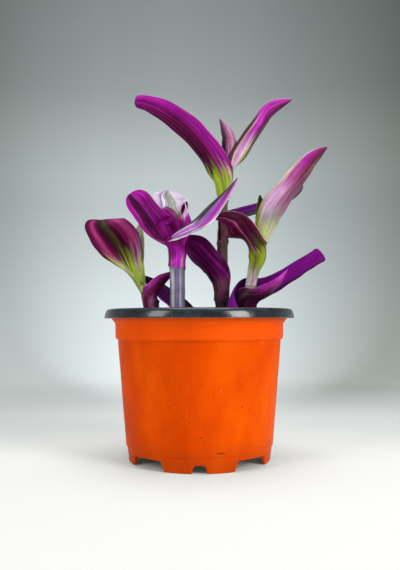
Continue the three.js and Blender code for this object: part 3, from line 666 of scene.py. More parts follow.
makeBlade("leaf_tall_right", {
    "slot": "leaf_dark",
    "rows": [
        (15.4, 5.6, 119.8, -0.6, -0.8, 0, 9.5, 166), (15.2, 5.4, 122.4, -0.6, -0.8, 0, 8.4, 166),
        (15.3, 5.4, 126, -0.6, -0.8, 0, 8.2, 160), (18, 7.8, 131.6, -0.5, -0.8, 0.3, 7.8, 90),
        (25.4, 10.6, 136.4, -0.2, -0.7, 0.7, 6.2, 50), (37, 12, 140.4, -0.1, -0.7, 0.75, 5.6, 40),
        (49, 12.6, 145.4, -0.1, -0.7, 0.75, 6.6, 40), (56.5, 12.6, 150.4, -0.1, -0.7, 0.75, 5, 40),
        (60.8, 12.6, 154.6, -0.1, -0.7, 0.75, 0.5, 30)],
    "inner": {
        "middle": "0 lightViolet, 10 violet, 30 orchidDeep, 38 darkViolet, 48 charcoal, 70 slate, "
            "85 charcoal, 100 slate",
        "base": ("0 wine, 30 maroon, 70 darkBrown, 100 maroon", 0.4, 0.52),
        "bands": [
            ("0 violet, 12 darkViolet, 35 charcoal, 60 slate, 100 charcoal", 0.7, 0.85)],
        "streak": ("lightViolet", 0.2), "shade": ("charcoal", 0.4)},
    "outer": {
        "middle": "0 plum, 50 charcoal, 100 slate",
        "base": ("0 mauveBrown, 30 darkBrown, 50 brown, 70 warmOlive, 85 mauveBrown, 100 brown", 0.36, 0.5),
        "streak": ("dullRose", 0.2), "shade": ("darkBrown", 0.3)},
})

makeBlade("leaf_tall_left", {
    "slot": "leaf_magenta", "wave": 0.3, "waves": 2, "blunt": True, "tipStart": 0.95,
    "rows": [
        (14, -0.3, 144.8, 0.03, 1, 0, 10, 170), (13.9, -0.9, 149.4, 0.03, 1, 0, 11.8, 164),
        (13.4, -2.9, 156, 0.06, 1, 0.05, 12.8, 120, 0.06),
        (10.8, -4, 162.6, 0.1, 0.97, 0.1, 10.2, 80, 0.1),
        (3.6, -4.6, 173, 0.15, 0.95, 0.15, 8.2, 60, 0.05), (-6, -5, 183.6, 0.15, 0.95, 0.15, 7.8, 52),
        (-17.4, -6, 192.4, 0.1, 0.95, 0.15, 6.8, 50), (-28, -8, 196.4, 0.1, 0.95, 0.2, 4.9, 46),
        (-35.6, -9, 197.4, 0.1, 0.95, 0.2, 3.5, 40)],
    "inner": {
        "middle": "0 magenta, 50 aubergine, 100 magenta",
        "base": ("0 olive, 50 lime, 100 olive", 0.3, 0.45),
        "streak": ("brightMagenta", 0.25), "count": 14},
    "outer": {
        "middle": "0 palePink, 2.5 magenta, 8 magenta, 15 magenta, 20 magenta, 25 plum, 30 magenta, "
            "37 plum, 43 deepMagenta, 48 wineRed, 53 maroon, 57 wineRed, 63 maroon, 70 wine, 78 blackWine, "
            "86 wineRed, 93 maroon, 100 plum",
        "base": ("0 dustyPink, 6 berry, 12 maroon, 20 olive, 28 cream, 33 paleOlive, 40 leafGreen, "
            "46 lime, 56 leafGreen, 64 brightLime, 74 leafGreen, 88 lime, 100 leafGreen", 0.26, 0.38),
        "bands": [
            ("0 brightPink, 10 magenta, 22 brightMagenta, 36 magenta, 44 plum, 52 deepMagenta, 60 magenta, "
             "72 wineRed, 85 plum, 100 deepMagenta", 0.66, 0.88),
            ("0 paleOlive, 20 olive, 30 cream, 38 brightLime, 48 leafGreen, 56 brightLime, 66 lime, "
             "74 brightLime, 100 lime", 0.26, 0.14)],
        "streak": ("hotPink", 0.16), "shade": ("inkWine", 0.36), "count": 17, "ragged": 0.2},
})

makeBlade("leaf_tall_top", {
    "slot": "leaf_lilac",
    "rows": [
        (15.5, 4.7, 150, -0.6, -0.8, 0, 6, 162), (16.1, 5.4, 156, -0.6, -0.8, 0.1, 6.1, 150),
        (19.2, 8.8, 162.6, -0.85, -0.3, 0.3, 7.6, 96), (25, 8.4, 169.6, -0.7, 0.5, 0.5, 8.4, 74),
        (31.6, 6.6, 180.2, -0.65, 0.55, 0.5, 7.8, 66), (36.6, 5, 187.4, -0.65, 0.5, 0.5, 7.4, 62),
        (41.4, 3.6, 194.2, -0.65, 0.5, 0.55, 7.2, 60), (47.6, 2, 198.6, -0.6, 0.5, 0.6, 4.6, 56),
        (53.2, 0.6, 201.4, -0.6, 0.4, 0.7, 0.4, 30)],
    "inner": {
        "middle": "0 cream, 10 mauve, 50 plum, 90 mauve, 100 cream",
        "base": ("0 paleOlive, 100 olive", 0.3, 0.5),
        "streak": ("palePink", 0.3)},
    "outer": {
        "middle": "46 darkOlive, 50 night, 55 plum, 60 wine, 64 hotMagenta, 72 brightPink, 78 hotMagenta, "
            "84 pink, 87 cream, 90 darkOlive, 100 oliveBrown",
        "base": ("44 olive, 50 paleOlive, 56 cream, 62 ivory, 72 palePink, 80 softPink, 86 cream, "
            "90 brown, 100 darkOlive", 0.38, 0.54),
        "bands": [
            ("46 wine, 56 deepMagenta, 66 berry, 76 brightMagenta, 88 hotMagenta, 96 pink, "
             "100 palePink", 0.6, 0.74)],
        "streak": ("palePink", 0.2), "shade": ("plum", 0.34), "count": 14},
})

makeBlade("leaf_tall_spike", {
    "slot": "leaf_lilac",
    "rows": [
        (15.6, 5.2, 162, 0.1, 1, 0, 2, 100), (16.2, 5.4, 167, 0.15, 1, 0, 4.6, 90),
        (17, 5.6, 174, 0.15, 1, 0, 6.2, 76), (16.6, 5.6, 182.4, 0.2, 1, 0, 4.8, 70),
        (12.2, 5.4, 191.8, 0.3, 1, 0, 0.4, 30)],
    "inner": {
        "middle": "0 mauvePink, 50 plum, 100 mauvePink"},
    "outer": {
        "middle": "0 cream, 6 dustyPink, 20 mauvePink, 30 dustyPink, 42 dullRose, 52 mauvePink, "
            "60 mauveBrown, 68 darkBrown, 80 maroon, 90 darkBrown, 100 mauvePink",
        "base": ("0 olive, 50 oliveBrown, 100 olive", 0.2, 0.4),
        "bands": [
            ("0 cream, 30 mauvePink, 60 maroon, 100 darkBrown", 0.85, 1)],
        "streak": ("palePink", 0.24), "shade": ("plum", 0.36), "count": 14},
})

# right shoot: two low cupped leaves, then a stem with an arching leaf, a long pale leaf and a young tip
makeBlade("leaf_right_low", {
    "slot": "leaf_magenta", "blunt": True, "tipStart": 0.94,
    "rows": [
        (22.4, -1.4, 74, 0.15, -1, 0, 16.4, 124, -0.4), (22.6, -1, 81, 0.15, -1, 0.1, 15.6, 110, -0.5),
        (27.2, -1.8, 87.4, 0, -0.9, 0.4, 11.4, 88, -0.37),
        (37, -4.6, 92.2, -0.2, -0.8, 0.55, 7.6, 46, -0.06), (46.4, -7.4, 97.8, -0.2, -0.8, 0.55, 6, 36),
        (55, -9.6, 103.4, -0.2, -0.8, 0.55, 5.6, 36), (62, -11, 107.8, -0.2, -0.8, 0.55, 5.2, 36),
        (67.4, -12, 111.2, -0.2, -0.8, 0.55, 5.6, 30)],
    "inner": {
        "middle": "0 violetPlum, 12 royalViolet, 50 royalViolet, 75 violetPlum, 95 deepPurple, 100 berry",
        "base": ("0 deepViolet, 30 violetPlum, 60 deepPurple, 100 violetPlum", 0.3, 0.5),
        "streak": ("violet", 0.2), "shade": ("deepPurple", 0.2), "rough": 0.42},
    "outer": {
        "middle": "0 violetPlum, 50 deepPurple, 100 violetPlum",
        "base": ("0 violet, 20 orchidDeep, 50 violetPlum, 100 deepPurple", 0.25, 0.5),
        "streak": ("violet", 0.25)},
})

makeBlade("leaf_right_cupped", {
    "slot": "leaf_magenta",
    "rows": [
        (26, -12.9, 76, -0.1, 1, 0, 11.6, 150), (26.6, -13.4, 80.4, -0.15, 1, 0.1, 10.6, 120, 0.1),
        (28.2, -14.2, 84, -0.35, 0.8, 0.4, 10, 84, 0.34), (32.4, -15.2, 87, -0.5, 0.5, 0.7, 6.8, 76, 0.14),
        (38, -16, 90.4, -0.5, 0.45, 0.75, 6.2, 70, 0.1), (43.6, -16, 95.8, -0.6, 0.4, 0.7, 4.4, 60),
        (47.6, -15.4, 102.8, -0.6, 0.4, 0.7, 0.5, 30)],
    "inner": {
        "middle": "0 pink, 10 plum, 50 maroon, 90 plum, 100 pink",
        "streak": ("berry", 0.25)},
    "outer": {
        # the black wine in the middle and base ramps is painted shade of the cupped hollow
        "middle": "30 maroon, 45 blackWine, 60 wineRed, 68 maroon, 76 deepMagenta, 83 magenta, "
            "90 deepMagenta, 96 hotMagenta, 98.5 magenta, 100 palePink",
        "base": ("30 maroon, 50 blackWine, 70 maroon, 85 blackWine, 95 maroon, 98.5 wineRed, "
            "100 pink", 0.4, 0.62),
        "bands": [
            ("40 plum, 60 magenta, 80 brightMagenta, 100 brightPink", 0.7, 0.9)],
        "streak": ("hotPink", 0.24), "shade": ("inkWine", 0.45), "count": 17, "rough": 0.28, "gloss": 0.25},
})

makeBlade("leaf_right_arching", {
    "slot": "leaf_dark",
    "rows": [
        (28.2, -10.9, 94.4, 0, 1, 0, 8.6, 168), (28.6, -10.7, 97, 0, 1, 0, 7.8, 168),
        (30, -11, 103, 0, 1, 0, 9, 164), (31.4, -12.4, 109.6, 0.15, 1, 0, 11.4, 140),
        (29, -13.6, 115.2, 0.7, 0.7, 0.1, 9.8, 92), (27.4, -13.8, 123.4, 0.35, 0.9, -0.1, 8.6, 56, 0.42),
        (22.4, -13.4, 130.6, 0, 0.78, -0.62, 9.4, 40, 0.46),
        (15.4, -12.4, 132.6, 0, 0.8, -0.6, 7.4, 30, 0.4), (9, -13, 130.6, 0, 0.8, -0.6, 0.6, 20)],
    "inner": {
        "middle": "0 cream, 5 wine, 30 blackWine, 46 wineRed, 50 dustyPink, 54 wineRed, 75 blackWine, "
            "100 wineRed",
        "base": ("0 lime, 50 yellowGreen, 100 lime", 0.38, 0.56),
        "streak": ("rose", 0.2), "shade": ("blackWine", 0.3), "count": 14},
    "outer": {
        "middle": "0 cream, 2.5 rose, 5 wine, 14 maroon, 22 blackWine, 30 wine, 38 blackWine, 46 wine, "
            "48.5 dullRose, 51 rose, 54 wineRed, 64 blackWine, 70 wineRed, 78 blackWine, 90 wineRed, "
            "100 berry",
        "base": ("0 yellowGreen, 4 olive, 16 darkOlive, 30 olive, 40 darkOlive, 47 brown, 51 dullRose, "
            "60 darkOlive, 80 olive", 0.46, 0.64),
        "bands": [
            ("0 yellowGreen, 6 leafGreen, 14 olive, 24 leafGreen, 34 lime, 44 leafGreen, 52 olive, "
             "60 lime, 100 leafGreen", 0.5, 0.4),
            ("0 white, 20 whiteGreen, 40 stemPinkWhite, 50 dustyPink, 60 white, 80 whiteGreen, "
             "100 white", 0.32, 0.12)],
        "streak": ("rose", 0.12), "shade": ("blackWine", 0.3), "count": 14, "tone": 0.98, "gloss": 0.03},
})

makeBlade("leaf_right_long", {
    "slot": "leaf_lilac",
    "rows": [
        (34, -8.4, 112, -1, 0, 0.2, 4.8, 140), (35.5, -9.6, 118.4, -0.65, 0.7, 0.2, 6, 74),
        (38, -10, 126, -0.5, 0.8, 0.2, 8.6, 60, -0.05),
        (41.8, -10, 136.4, -0.45, 0.8, 0.3, 10.2, 48, -0.12),
        (48.8, -10.2, 146.6, -0.45, 0.8, 0.35, 8.8, 44, -0.16),
        (56.2, -10.6, 156.4, -0.45, 0.8, 0.35, 8, 42, -0.2),
        (62.6, -10.8, 164.2, -0.4, 0.8, 0.4, 5.9, 44, -0.2), (70.6, -11, 170.6, -0.4, 0.8, 0.4, 0.4, 30)],
    "inner": {
        "middle": "0 paleYellow, 10 mauve, 50 magenta, 90 mauve, 100 paleYellow",
        "base": ("0 paleYellow, 100 yellowGreen", 0.3, 0.5),
        "streak": ("palePink", 0.3), "count": 14},
    "outer": {
        "middle": "0 cream, 4 softPink, 12 mauvePink, 20 dullRose, 28 mauvePink, 34 dullRose, "
            "40 mauveBrown, 46 dullRose, 54 mauvePink, 60 dullRose, 66 palePink, 74 paleOrchid, "
            "84 paleOrchid, 92 palePink, 100 cream",
        "base": ("0 paleYellow, 10 yellowGreen, 22 paleGreen, 40 dustyGreen, 55 greyGreen, 68 greyLilac, "
            "80 dustyGreen, 89 paleGreen, 93 olive, 100 leafGreen", 0.3, 0.5),
        "bands": [
            ("0 cream, 5 mauveBrown, 14 dullRose, 22 brown, 30 mauveBrown, 38 wineRed, 45 dullRose, "
             "52 wineRed, 60 dullRose, 68 berryPink, 74 dullRose, 80 pink, 86 berryPink, 92 dustyPink, "
             "96 cream, 100 paleYellow", 0.52, 0.64),
            ("35 paleYellow, 60 yellowGreen, 80 lime, 100 leafGreen", 0.36, 0.2),
            ("0 cream, 6 mauveBrown, 12 wineRed, 20 brown, 32 warmOlive, 40 mauveBrown, 46 wine, "
             "54 wineRed, 62 berry, 72 magenta, 82 hotMagenta, 90 brightMagenta, 95 palePink, "
             "100 cream", 0.68, 0.78),
            ("0 wine, 50 wineRed, 80 berry, 93 berryPink, 100 pink", 0.82, 0.95)],
        "streak": ("palePink", 0.1), "shade": ("mauveBrown", 0.34), "count": 22, "ragged": 0.12,
        "tone": 0.97, "gloss": 0.03},
})

makeBlade("leaf_right_tip", {
    "slot": "leaf_green",
    "rows": [
        (33.6, -2.5, 113.6, 0, -1, 0, 1.6, 50), (33.8, -2.2, 119, 0, -1, 0, 2.4, 50),
        (34.5, -2, 125.6, 0, -1, 0, 3.1, 50), (34.9, -1.8, 132, 0, -1, 0, 3.7, 50),
        (34.8, -1.5, 139.4, 0, -1, 0, 2.7, 50), (34.2, -1.2, 146, 0, -1, 0, 0.5, 30)],
    "inner": {
        "middle": "0 olive, 30 darkOlive, 100 brown",
        "streak": ("leafGreen", 0.3), "count": 8},
    "outer": {
        "middle": "0 olive, 100 darkOlive",
        "streak": ("leafGreen", 0.3), "count": 8},
})

# left shoot: a fan-shaped striped leaf, a small tip behind it and a folded leaf to the right
makeBlade("leaf_left_fan", {
    "slot": "leaf_magenta", "wave": 0.6, "waves": 1.5, "blunt": True,
    "rows": [
        (-31.2, -0.6, 90.4, 0.6, -0.8, 0, 5.8, 158), (-33.6, 0.6, 95, 0.6, -0.8, 0, 6.2, 150),
        (-36, -1.4, 99.6, 0.55, -0.8, 0.3, 7, 110), (-39.2, -3.4, 106, 0.5, -0.8, 0.35, 9, 60),
        (-42.2, -5, 112.6, 0.4, -0.85, 0.35, 12.2, 36), (-46.2, -6, 120, 0.3, -0.9, 0.3, 13.7, 30, -0.03),
        (-51, -6, 127.2, 0.3, -0.9, 0.4, 12.6, 24, -0.1),
        (-54.6, -2.4, 132, 0.25, -0.6, 0.8, 10.7, 20, -0.1)],
    "inner": {
        "middle": "0 maroon, 6 wine, 12 berry, 20 rose, 26 berry, 31 wine, 38 blackWine, 46 darkOlive, "
            "54 oliveBrown, 60 maroon, 65 blackWine, 70 wineRed, 77 berry, 86 rose, 94 berryPink, 100 wine",
        "base": ("8 lime, 15 yellowGreen, 22 paleYellow, 29 stemPinkWhite, 35 yellowGreen, 42 olive, "
            "48 leafGreen, 56 olive, 64 leafGreen, 70 paleOlive, 75 dustyPink, 85 softPink, 93 dustyPink, "
            "100 brown", 0.43, 0.62),
        "bands": [
            ("0 brightLime, 20 lime, 45 yellowGreen, 60 brightLime, 80 yellowGreen, 100 lime", 0.46, 0.3)],
        "streak": ("rose", 0.2), "shade": ("night", 0.26), "count": 15, "ragged": 0.25},
    "outer": {
        "middle": "0 wine, 50 olive, 100 wine",
        "base": ("0 yellowGreen, 50 lime, 100 paleYellow", 0.3, 0.55),
        "streak": ("rose", 0.2), "count": 14},
})

makeBlade("leaf_left_tip", {
    "slot": "leaf_green",
    "rows": [
        (-33.6, 1, 104, 0, -1, 0, 2.6, 50), (-34, 3, 117, 0, -1, 0, 3.4, 50),
        (-34.1, 4, 125, 0, -1, 0, 2.8, 50), (-33.8, 4, 130.6, 0, -1, 0, 0.5, 30)],
    "inner": {
        "middle": "0 paleGreen, 50 whiteGreen, 100 yellowGreen",
        "streak": ("white", 0.3), "shade": ("olive", 0.3), "count": 8},
    "outer": {
        "middle": "0 paleGreen, 100 yellowGreen",
        "streak": ("white", 0.3), "shade": ("olive", 0.3), "count": 8},
})

makeBlade("leaf_left_folded", {
    "slot": "leaf_magenta",
    "rows": [
        (-26, -5.5, 76, 0.1, 1, 0, 11.4, 165), (-27.2, -5.7, 82.6, 0.15, 1, 0, 11.2, 155),
        (-27.6, -5.8, 88, 0.15, 0.95, 0.3, 9.2, 105, -0.06),
        (-25, -5.4, 92.8, -0.2, 0.9, 0.5, 6, 70, -0.2), (-20.2, -4.6, 97.6, -0.3, 0.8, 0.6, 4.6, 56, -0.1),
        (-14, -4.2, 102.8, -0.3, 0.8, 0.6, 0.6, 30)],
    "inner": {
        "middle": "0 berry, 50 maroon, 100 berry"},
    "outer": {
        "middle": "40 wineRed, 50 berry, 58 wineRed, 64 berry, 70 wineRed, 78 berryPink, 86 hotMagenta, "
            "94 berryPink, 98 pink, 100 softPink",
        "base": ("30 maroon, 45 dullRose, 55 wineRed, 62 maroon, 70 berry, 76 pink, 82 wineRed, 90 berry, "
            "100 dustyPink", 0.3, 0.52),
        "streak": ("pink", 0.16), "shade": ("blackWine", 0.4), "count": 16, "tone": 1.15, "rough": 0.2,
        "gloss": 0.2},
})

# back shoot: one dark leaf that crosses behind the front and left shoots
makeBlade("leaf_back", {
    "slot": "leaf_dark",
    "rows": [
        (-0.4, 9.4, 75.4, 0.5, 0.2, 0.8, 7.4, 70), (-4.6, 8.4, 78.2, 0.5, -0.3, 0.8, 7.6, 50),
        (-10.4, 7, 82.2, 0.4, -0.6, 0.6, 7.2, 36), (-18.6, 6.3, 89, 0.4, -0.7, 0.6, 6.4, 30),
        (-27, 5.3, 96, 0.4, -0.7, 0.6, 4.6, 30), (-33.4, 4, 101.6, 0.4, -0.7, 0.6, 0.6, 20)],
    "inner": {
        "middle": "0 orchidDeep, 14 royalViolet, 20 blackPurple, 50 deepPurple, 56 blackPurple, "
            "80 deepPurple, 100 blackPurple",
        "streak": ("violetPlum", 0.3), "shade": ("blackPurple", 0.4), "count": 14},
    "outer": {
        "middle": "0 violetPlum, 50 deepPurple, 100 violetPlum"},
})

# a thin flank that rises behind the young leaf and stands for no solid of its own
makeBlade("frontFlap", {
    "slot": "leaf_magenta", "node": "", "blunt": True,
    "rows": [
        (-13, -12.5, 118, 0, -1, 0.2, 3, 30), (-15, -12, 122.5, -0.05, -0.98, 0.25, 7.4, 30, -0.2),
        (-17, -10.6, 127.4, -0.1, -0.95, 0.3, 9.4, 32, -0.15),
        (-19.6, -9, 131.4, -0.1, -0.93, 0.35, 8.6, 34, -0.1), (-22.8, -8, 133.8, -0.1, -0.93, 0.35, 6, 30)],
    "inner": {
        # the wine and maroon from 0 to 30 are painted shade, matching the shaded hollow beside the flap
        "middle": "0 plum, 8 wineRed, 16 maroon, 24 plum, 30 wineRed, 38 deepMagenta, 48 magenta, "
            "56 deepMagenta, 62 magenta, 70 deepMagenta, 78 magenta, 85 deepMagenta, 92 dullRose, "
            "96 mauveBrown, 98.5 dustyPink, 100 brown",
        "streak": ("hotPink", 0.2), "shade": ("inkWine", 0.35)},
    "outer": {
        "middle": "0 plum, 50 magenta, 100 brown"},
})
print("leaves ready")


# The pot: orange outside, black inside and over its rolled lip; profiles are radius and height in mm,
# foot angles are degrees from the middle of a foot's notch
pot = {
    "outside": [
        (12, 5.6), (24, 5.6), (34, 5.6), (36.4, 5.55), (36.9, 5.2), (37, 4.2), (37.05, 2), (37.1, 0.35),
        (37.3, 0.05), (37.7, 0), (38.2, 0), (38.5, 0.12), (38.65, 0.5), (38.9, 2.4), (39.2, 4.4),
        (39.35, 5.6), (39.5, 7), (39.6, 7.7), (39.85, 8.1), (40.15, 8.35), (40.3, 8.8), (41, 17),
        (41.9, 27), (42.8, 38), (43.7, 49), (44.5, 58), (44.95, 63.6), (44.98, 64.4), (44.85, 64.9),
        (44.95, 65.2), (45.5, 65.45), (46.05, 65.85), (46.3, 66.5), (46.4, 67.6), (46.45, 70.5),
        (46.5, 73.2), (46.65, 74), (47, 74.7), (47.5, 75.4), (48.05, 76), (48.35, 76.4), (48.6, 76.85),
        (49.1, 77), (50.6, 77.05), (51.9, 76.98)],
    "edge": [(52.3, 76.9), (52.5, 77)],
    "inside": [
        (52.48, 77.5), (52.3, 78.5), (52.05, 79.5), (51.7, 80.5), (51.25, 81.3), (50.6, 81.8), (49.9, 82),
        (49.2, 81.9), (48.6, 81.4), (48.2, 80.6), (47.6, 79), (47.1, 77.7), (46.2, 75.8), (45.4, 74.2),
        (45.15, 73), (45.05, 67.8), (44.5, 66.2), (43.9, 64.7), (43.2, 56), (42.4, 46), (41.6, 36),
        (40.7, 25), (39.8, 15), (39.1, 9.2), (38.7, 7.9), (37.6, 7.3), (36, 7.2), (24, 7.2), (12, 7.2)],
    "underside": 5.6, "floor": 7.2, "drainRadius": 3.5, "drainPlace": 26,
    # the gap between two feet and the notch in a foot: height in mm, the angle where it begins and
    # the number of degrees over which it rises
    "gap": (5.5, 26.6, 4.6), "notch": (4.1, 6.0, 2.6),
    "footAngles": [
        0, 1.4, 2.4, 3.1, 3.5, 3.9, 4.3, 4.7, 5.1, 5.5, 6, 7, 9, 12, 15, 18, 21, 24, 26, 26.8, 27.5, 28.2,
        28.9, 29.6, 30.3, 31, 31.8, 34, 38, 42],
    # where the painted collar highlight, lip shade and foot shade begin and end, as heights in metres
    "collarHeight": (0.0655, 0.0668), "lipHeight": (0.0745, 0.0765), "footHeight": (0.004, 0.016),
    "cloudScale": 26.0, "grimeScale": 120.0, "dustScale": 900.0, "peelScale": 420.0, "bumpDepth": 0.00025,
    "orange": "30 #cc3e00, 50 #e64c00, 72 #fa6002", "dust": "#ffae7a", "grime": "#a63503",
    # the collar colour is a painted highlight, the colours under the lip and at the foot are painted shade
    "paintedCollarLight": "#ff5a10", "shadeUnderLip": "#8c3410", "foot": "#a83c10", "scuff": "#4a1404", "thrown": "#c4bcb6",
    "black": "30 #10161d, 60 #1c252e, 80 #323c45", "blackDust": "#9aa2a4",
    "worn": "35 #6e4a3c, 55 #b98a76, 75 #e3c3b4",
    # the scuff above a foot and two pits: place and half size in mm
    "scuffs": [
        ((6.2, -39, 10.2), (2.6, 6, 0.55)), ((-3.5, -40, 18.2), (0.6, 6, 0.5)),
        ((16.9, -38, 32.6), (0.5, 6, 0.5))],
}


# how high the skirt is cut away, by its angle from the middle of a foot's notch
def skirtHeight(away):
    height, begins, slope = pot["gap"]
    if away > begins:
        t = min((away - begins) / slope, 1)
        return height * t * t * (3 - 2 * t)
    height, begins, slope = pot["notch"]
    if away < begins:
        t = min((begins - away) / slope, 1)
        return height * (1 - (1 - t) ** 2.2) * (0.9 + 0.1 * math.cos(away / 4 * math.pi / 2))
    return 0.0


def makePot():
    turns = []
    angles = pot["footAngles"]
    for middle in (0, 90, 180, 270):
        turns += [middle - a for a in reversed(angles[1:])] + [middle + a for a in angles] + [middle + 45]
    turns.append(turns[0] + 360)
    outside, edge = pot["outside"], pot["edge"]
    profile = [(0.0, pot["underside"])] + outside + edge + pot["inside"] + [(0.0, pot["floor"])]
    bm = bmesh.new()
    columns, rings = len(turns) - 1, len(profile) - 1
    made = bmesh.ops.create_grid(bm, x_segments=columns, y_segments=rings, size=1.0)
    for face in bm.faces:
        ring = round((face.calc_center_median().y + 1) / 2 * rings - 0.5)
        face.material_index = 0 if ring < len(outside) else 2 if ring < len(outside + edge) else 1
        face.smooth = True
    for vert in made["verts"]:
        turn = turns[round((vert.co.x + 1) / 2 * columns)]
        radius, z = profile[round((vert.co.y + 1) / 2 * rings)]
        if z < pot["underside"] - 0.01:
            low = skirtHeight(abs((turn + 45) % 90 - 45))
            z = low + z * (1 - low / pot["underside"])
        angle = math.radians(turn - 90)
        vert.co = metres(radius * math.cos(angle), radius * math.sin(angle), z)
    weld(bm, 2e-6)
    return addObject("potShell", meshFrom(bm, "pot"))


def drillDrains(shell):
    bm = bmesh.new()
    radius, place = pot["drainRadius"] * mm, pot["drainPlace"]
    for degrees in (45, 135, 225, 315):
        turn = math.radians(degrees)
        made = bmesh.ops.create_cone(
            bm, cap_ends=True, segments=40, radius1=radius, radius2=radius, depth=6 * mm)
        middle = metres(place * math.cos(turn), place * math.sin(turn), (pot["underside"] + pot["floor"]) / 2)
        bmesh.ops.translate(bm, verts=made["verts"], vec=middle)
    drill = addObject("drill", meshFrom(bm, "drill"))
    cut = shell.modifiers.new("drains", "BOOLEAN")
    cut.object = drill
    cut.solver = "EXACT"
    bpy.context.view_layer.update()
    done = bpy.data.meshes.new_from_object(shell.evaluated_get(bpy.context.evaluated_depsgraph_get()))
    shell.modifiers.clear()
    shell.data = done
    bpy.data.objects.remove(drill)


def scuffMask(tree, coords, place, size):
    away = vectorNode(tree, "SUBTRACT", coords, Vector(place) * mm)
    length = vectorNode(tree, "LENGTH", vectorNode(tree, "DIVIDE", away, Vector(size) * mm))
    rough = noiseNode(tree, coords, 1500.0, 2.0, 0.6)
    return rangeNode(tree, plus(tree, length, rough), 0.9, 1.7, 0.65, 0.0)


def orangeFinish():
    material, tree, shader = newMaterial("orangePlastic")
    coords = objectPlace(tree)
    cloud = noiseNode(tree, stretched(tree, coords, (1, 1, 0.6)), pot["cloudScale"], 3.0, 0.55)
    upright = stretched(tree, coords, (1, 1, 0.35), (3, 1, 2))
    grime = noiseNode(tree, upright, pot["grimeScale"], 4.0, 0.6)
    specks = rangeNode(tree, noiseNode(tree, coords, pot["dustScale"], 3.0, 0.6), 0.66, 0.74, 0.0, 0.35)
    height = splitVector(tree, coords)[2]
    # the collar is painted brighter, more so in patches: a painted highlight where it catches the light
    collar = rangeNode(tree, height, *pot["collarHeight"])
    paintedCollarLight = times(tree, collar, rangeNode(tree, cloud, 0.3, 0.7, 0.45, 0.8))
    layers = [
        (specks, "dust"), (rangeNode(tree, grime, 0.6, 0.78, 0, 0.3), "grime"), (paintedCollarLight, "paintedCollarLight"),
        # painted shade under the rolled lip
        (rangeNode(tree, height, *pot["lipHeight"], 0.0, 0.5), "shadeUnderLip"),
        # painted shade, darker towards the floor
        (rangeNode(tree, height, *pot["footHeight"], 0.4, 0.0), "foot")]
    layers += [(scuffMask(tree, coords, place, size), "scuff") for place, size in pot["scuffs"]]
    # the light that the pot throws on the floor stays nearly white
    layers.append((addNode(tree, "ShaderNodeLightPath").outputs["Is Diffuse Ray"], "thrown"))
    shown = rampNode(tree, cloud, pot["orange"])
    for mask, name in layers:
        shown = mixColours(tree, mask, shown, colour(pot[name]))
    feedAll(tree, shader, {
        "Base Color": shown, "IOR": 1.2, "Specular IOR Level": 0.08,
        "Roughness": rangeNode(tree, grime, 0.3, 0.7, 0.3, 0.44),
        "Normal": bumpNode(tree, noiseNode(tree, coords, pot["peelScale"]), 0.35, pot["bumpDepth"])})
    return material


def blackFinish():
    material, tree, shader = newMaterial("blackPlastic")
    coords = objectPlace(tree)
    cloud = noiseNode(tree, coords, 160.0, 3.0, 0.6)
    dust = rangeNode(tree, noiseNode(tree, coords, 1400.0, 2.0), 0.68, 0.76, 0.0, 0.4)
    shown = mixColours(tree, dust, rampNode(tree, cloud, pot["black"]), colour(pot["blackDust"]))
    feedAll(tree, shader, {
        "Base Color": shown, "Coat Weight": 0.5, "Coat Roughness": 0.12,
        "Roughness": rangeNode(tree, cloud, 0.3, 0.7, 0.14, 0.26),
        "Normal": bumpNode(tree, noiseNode(tree, coords, 520.0, 3.0, 0.55), 0.4, pot["bumpDepth"])})
    return material


def edgeFinish():
    material, tree, shader = newMaterial("lipEdge")
    worn = noiseNode(tree, objectPlace(tree), 240.0, 3.0, 0.6)
    feedAll(tree, shader, {"Base Color": rampNode(tree, worn, pot["worn"]), "Roughness": 0.5})
    return material


shell = makePot()
drillDrains(shell)
for finish in (orangeFinish(), blackFinish(), edgeFinish()):
    shell.data.materials.append(finish)
shell.data.set_sharp_from_angle(angle=math.radians(38))
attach(shell, "root")
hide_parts("pot")
print("pot ready")


# Soil with bark crumbs and white perlite; top is its height, wall its profile and reach the radius
# where the outermost crumbs lie, all in mm
soil = {
    "top": 70.5, "reach": 42.5, "seed": 11,
    "crumbs": 300, "crumbSize": (0.5, 1.5), "perlite": 60, "perliteSize": (0.6, 1.4),
    "wall": [(30, 7.6), (36.8, 7.7), (38.4, 9), (41.9, 45), (43.4, 64.6), (44.3, 67.8), (44.2, 69.6)],
    # for each finish its colours, grain, roughness and bump
    "finishes": {
        "pottingMix": ("30 #1c1410, 50 #3a2a20, 70 #5c4535", 700.0, 0.95, 0.9),
        "barkCrumbs": ("30 #2a1b13, 50 #4d3525, 70 #7a5a40", 900.0, 0.85, 0.6),
        "perlite": ("30 #cfc8bd, 60 #efebe2, 80 #ffffff", 1200.0, 0.7, 0.5)},
}


def soilLevel(x, y):
    bumps = math.sin(x * 0.31 + 1.3) * math.cos(y * 0.27 + 0.4) * 0.7
    lumps = 1.1 * noise.noise(Vector((x * 0.4, y * 0.4, 3))) + 0.5 * noise.noise(Vector((x, y, 7)))
    return soil["top"] + bumps + lumps


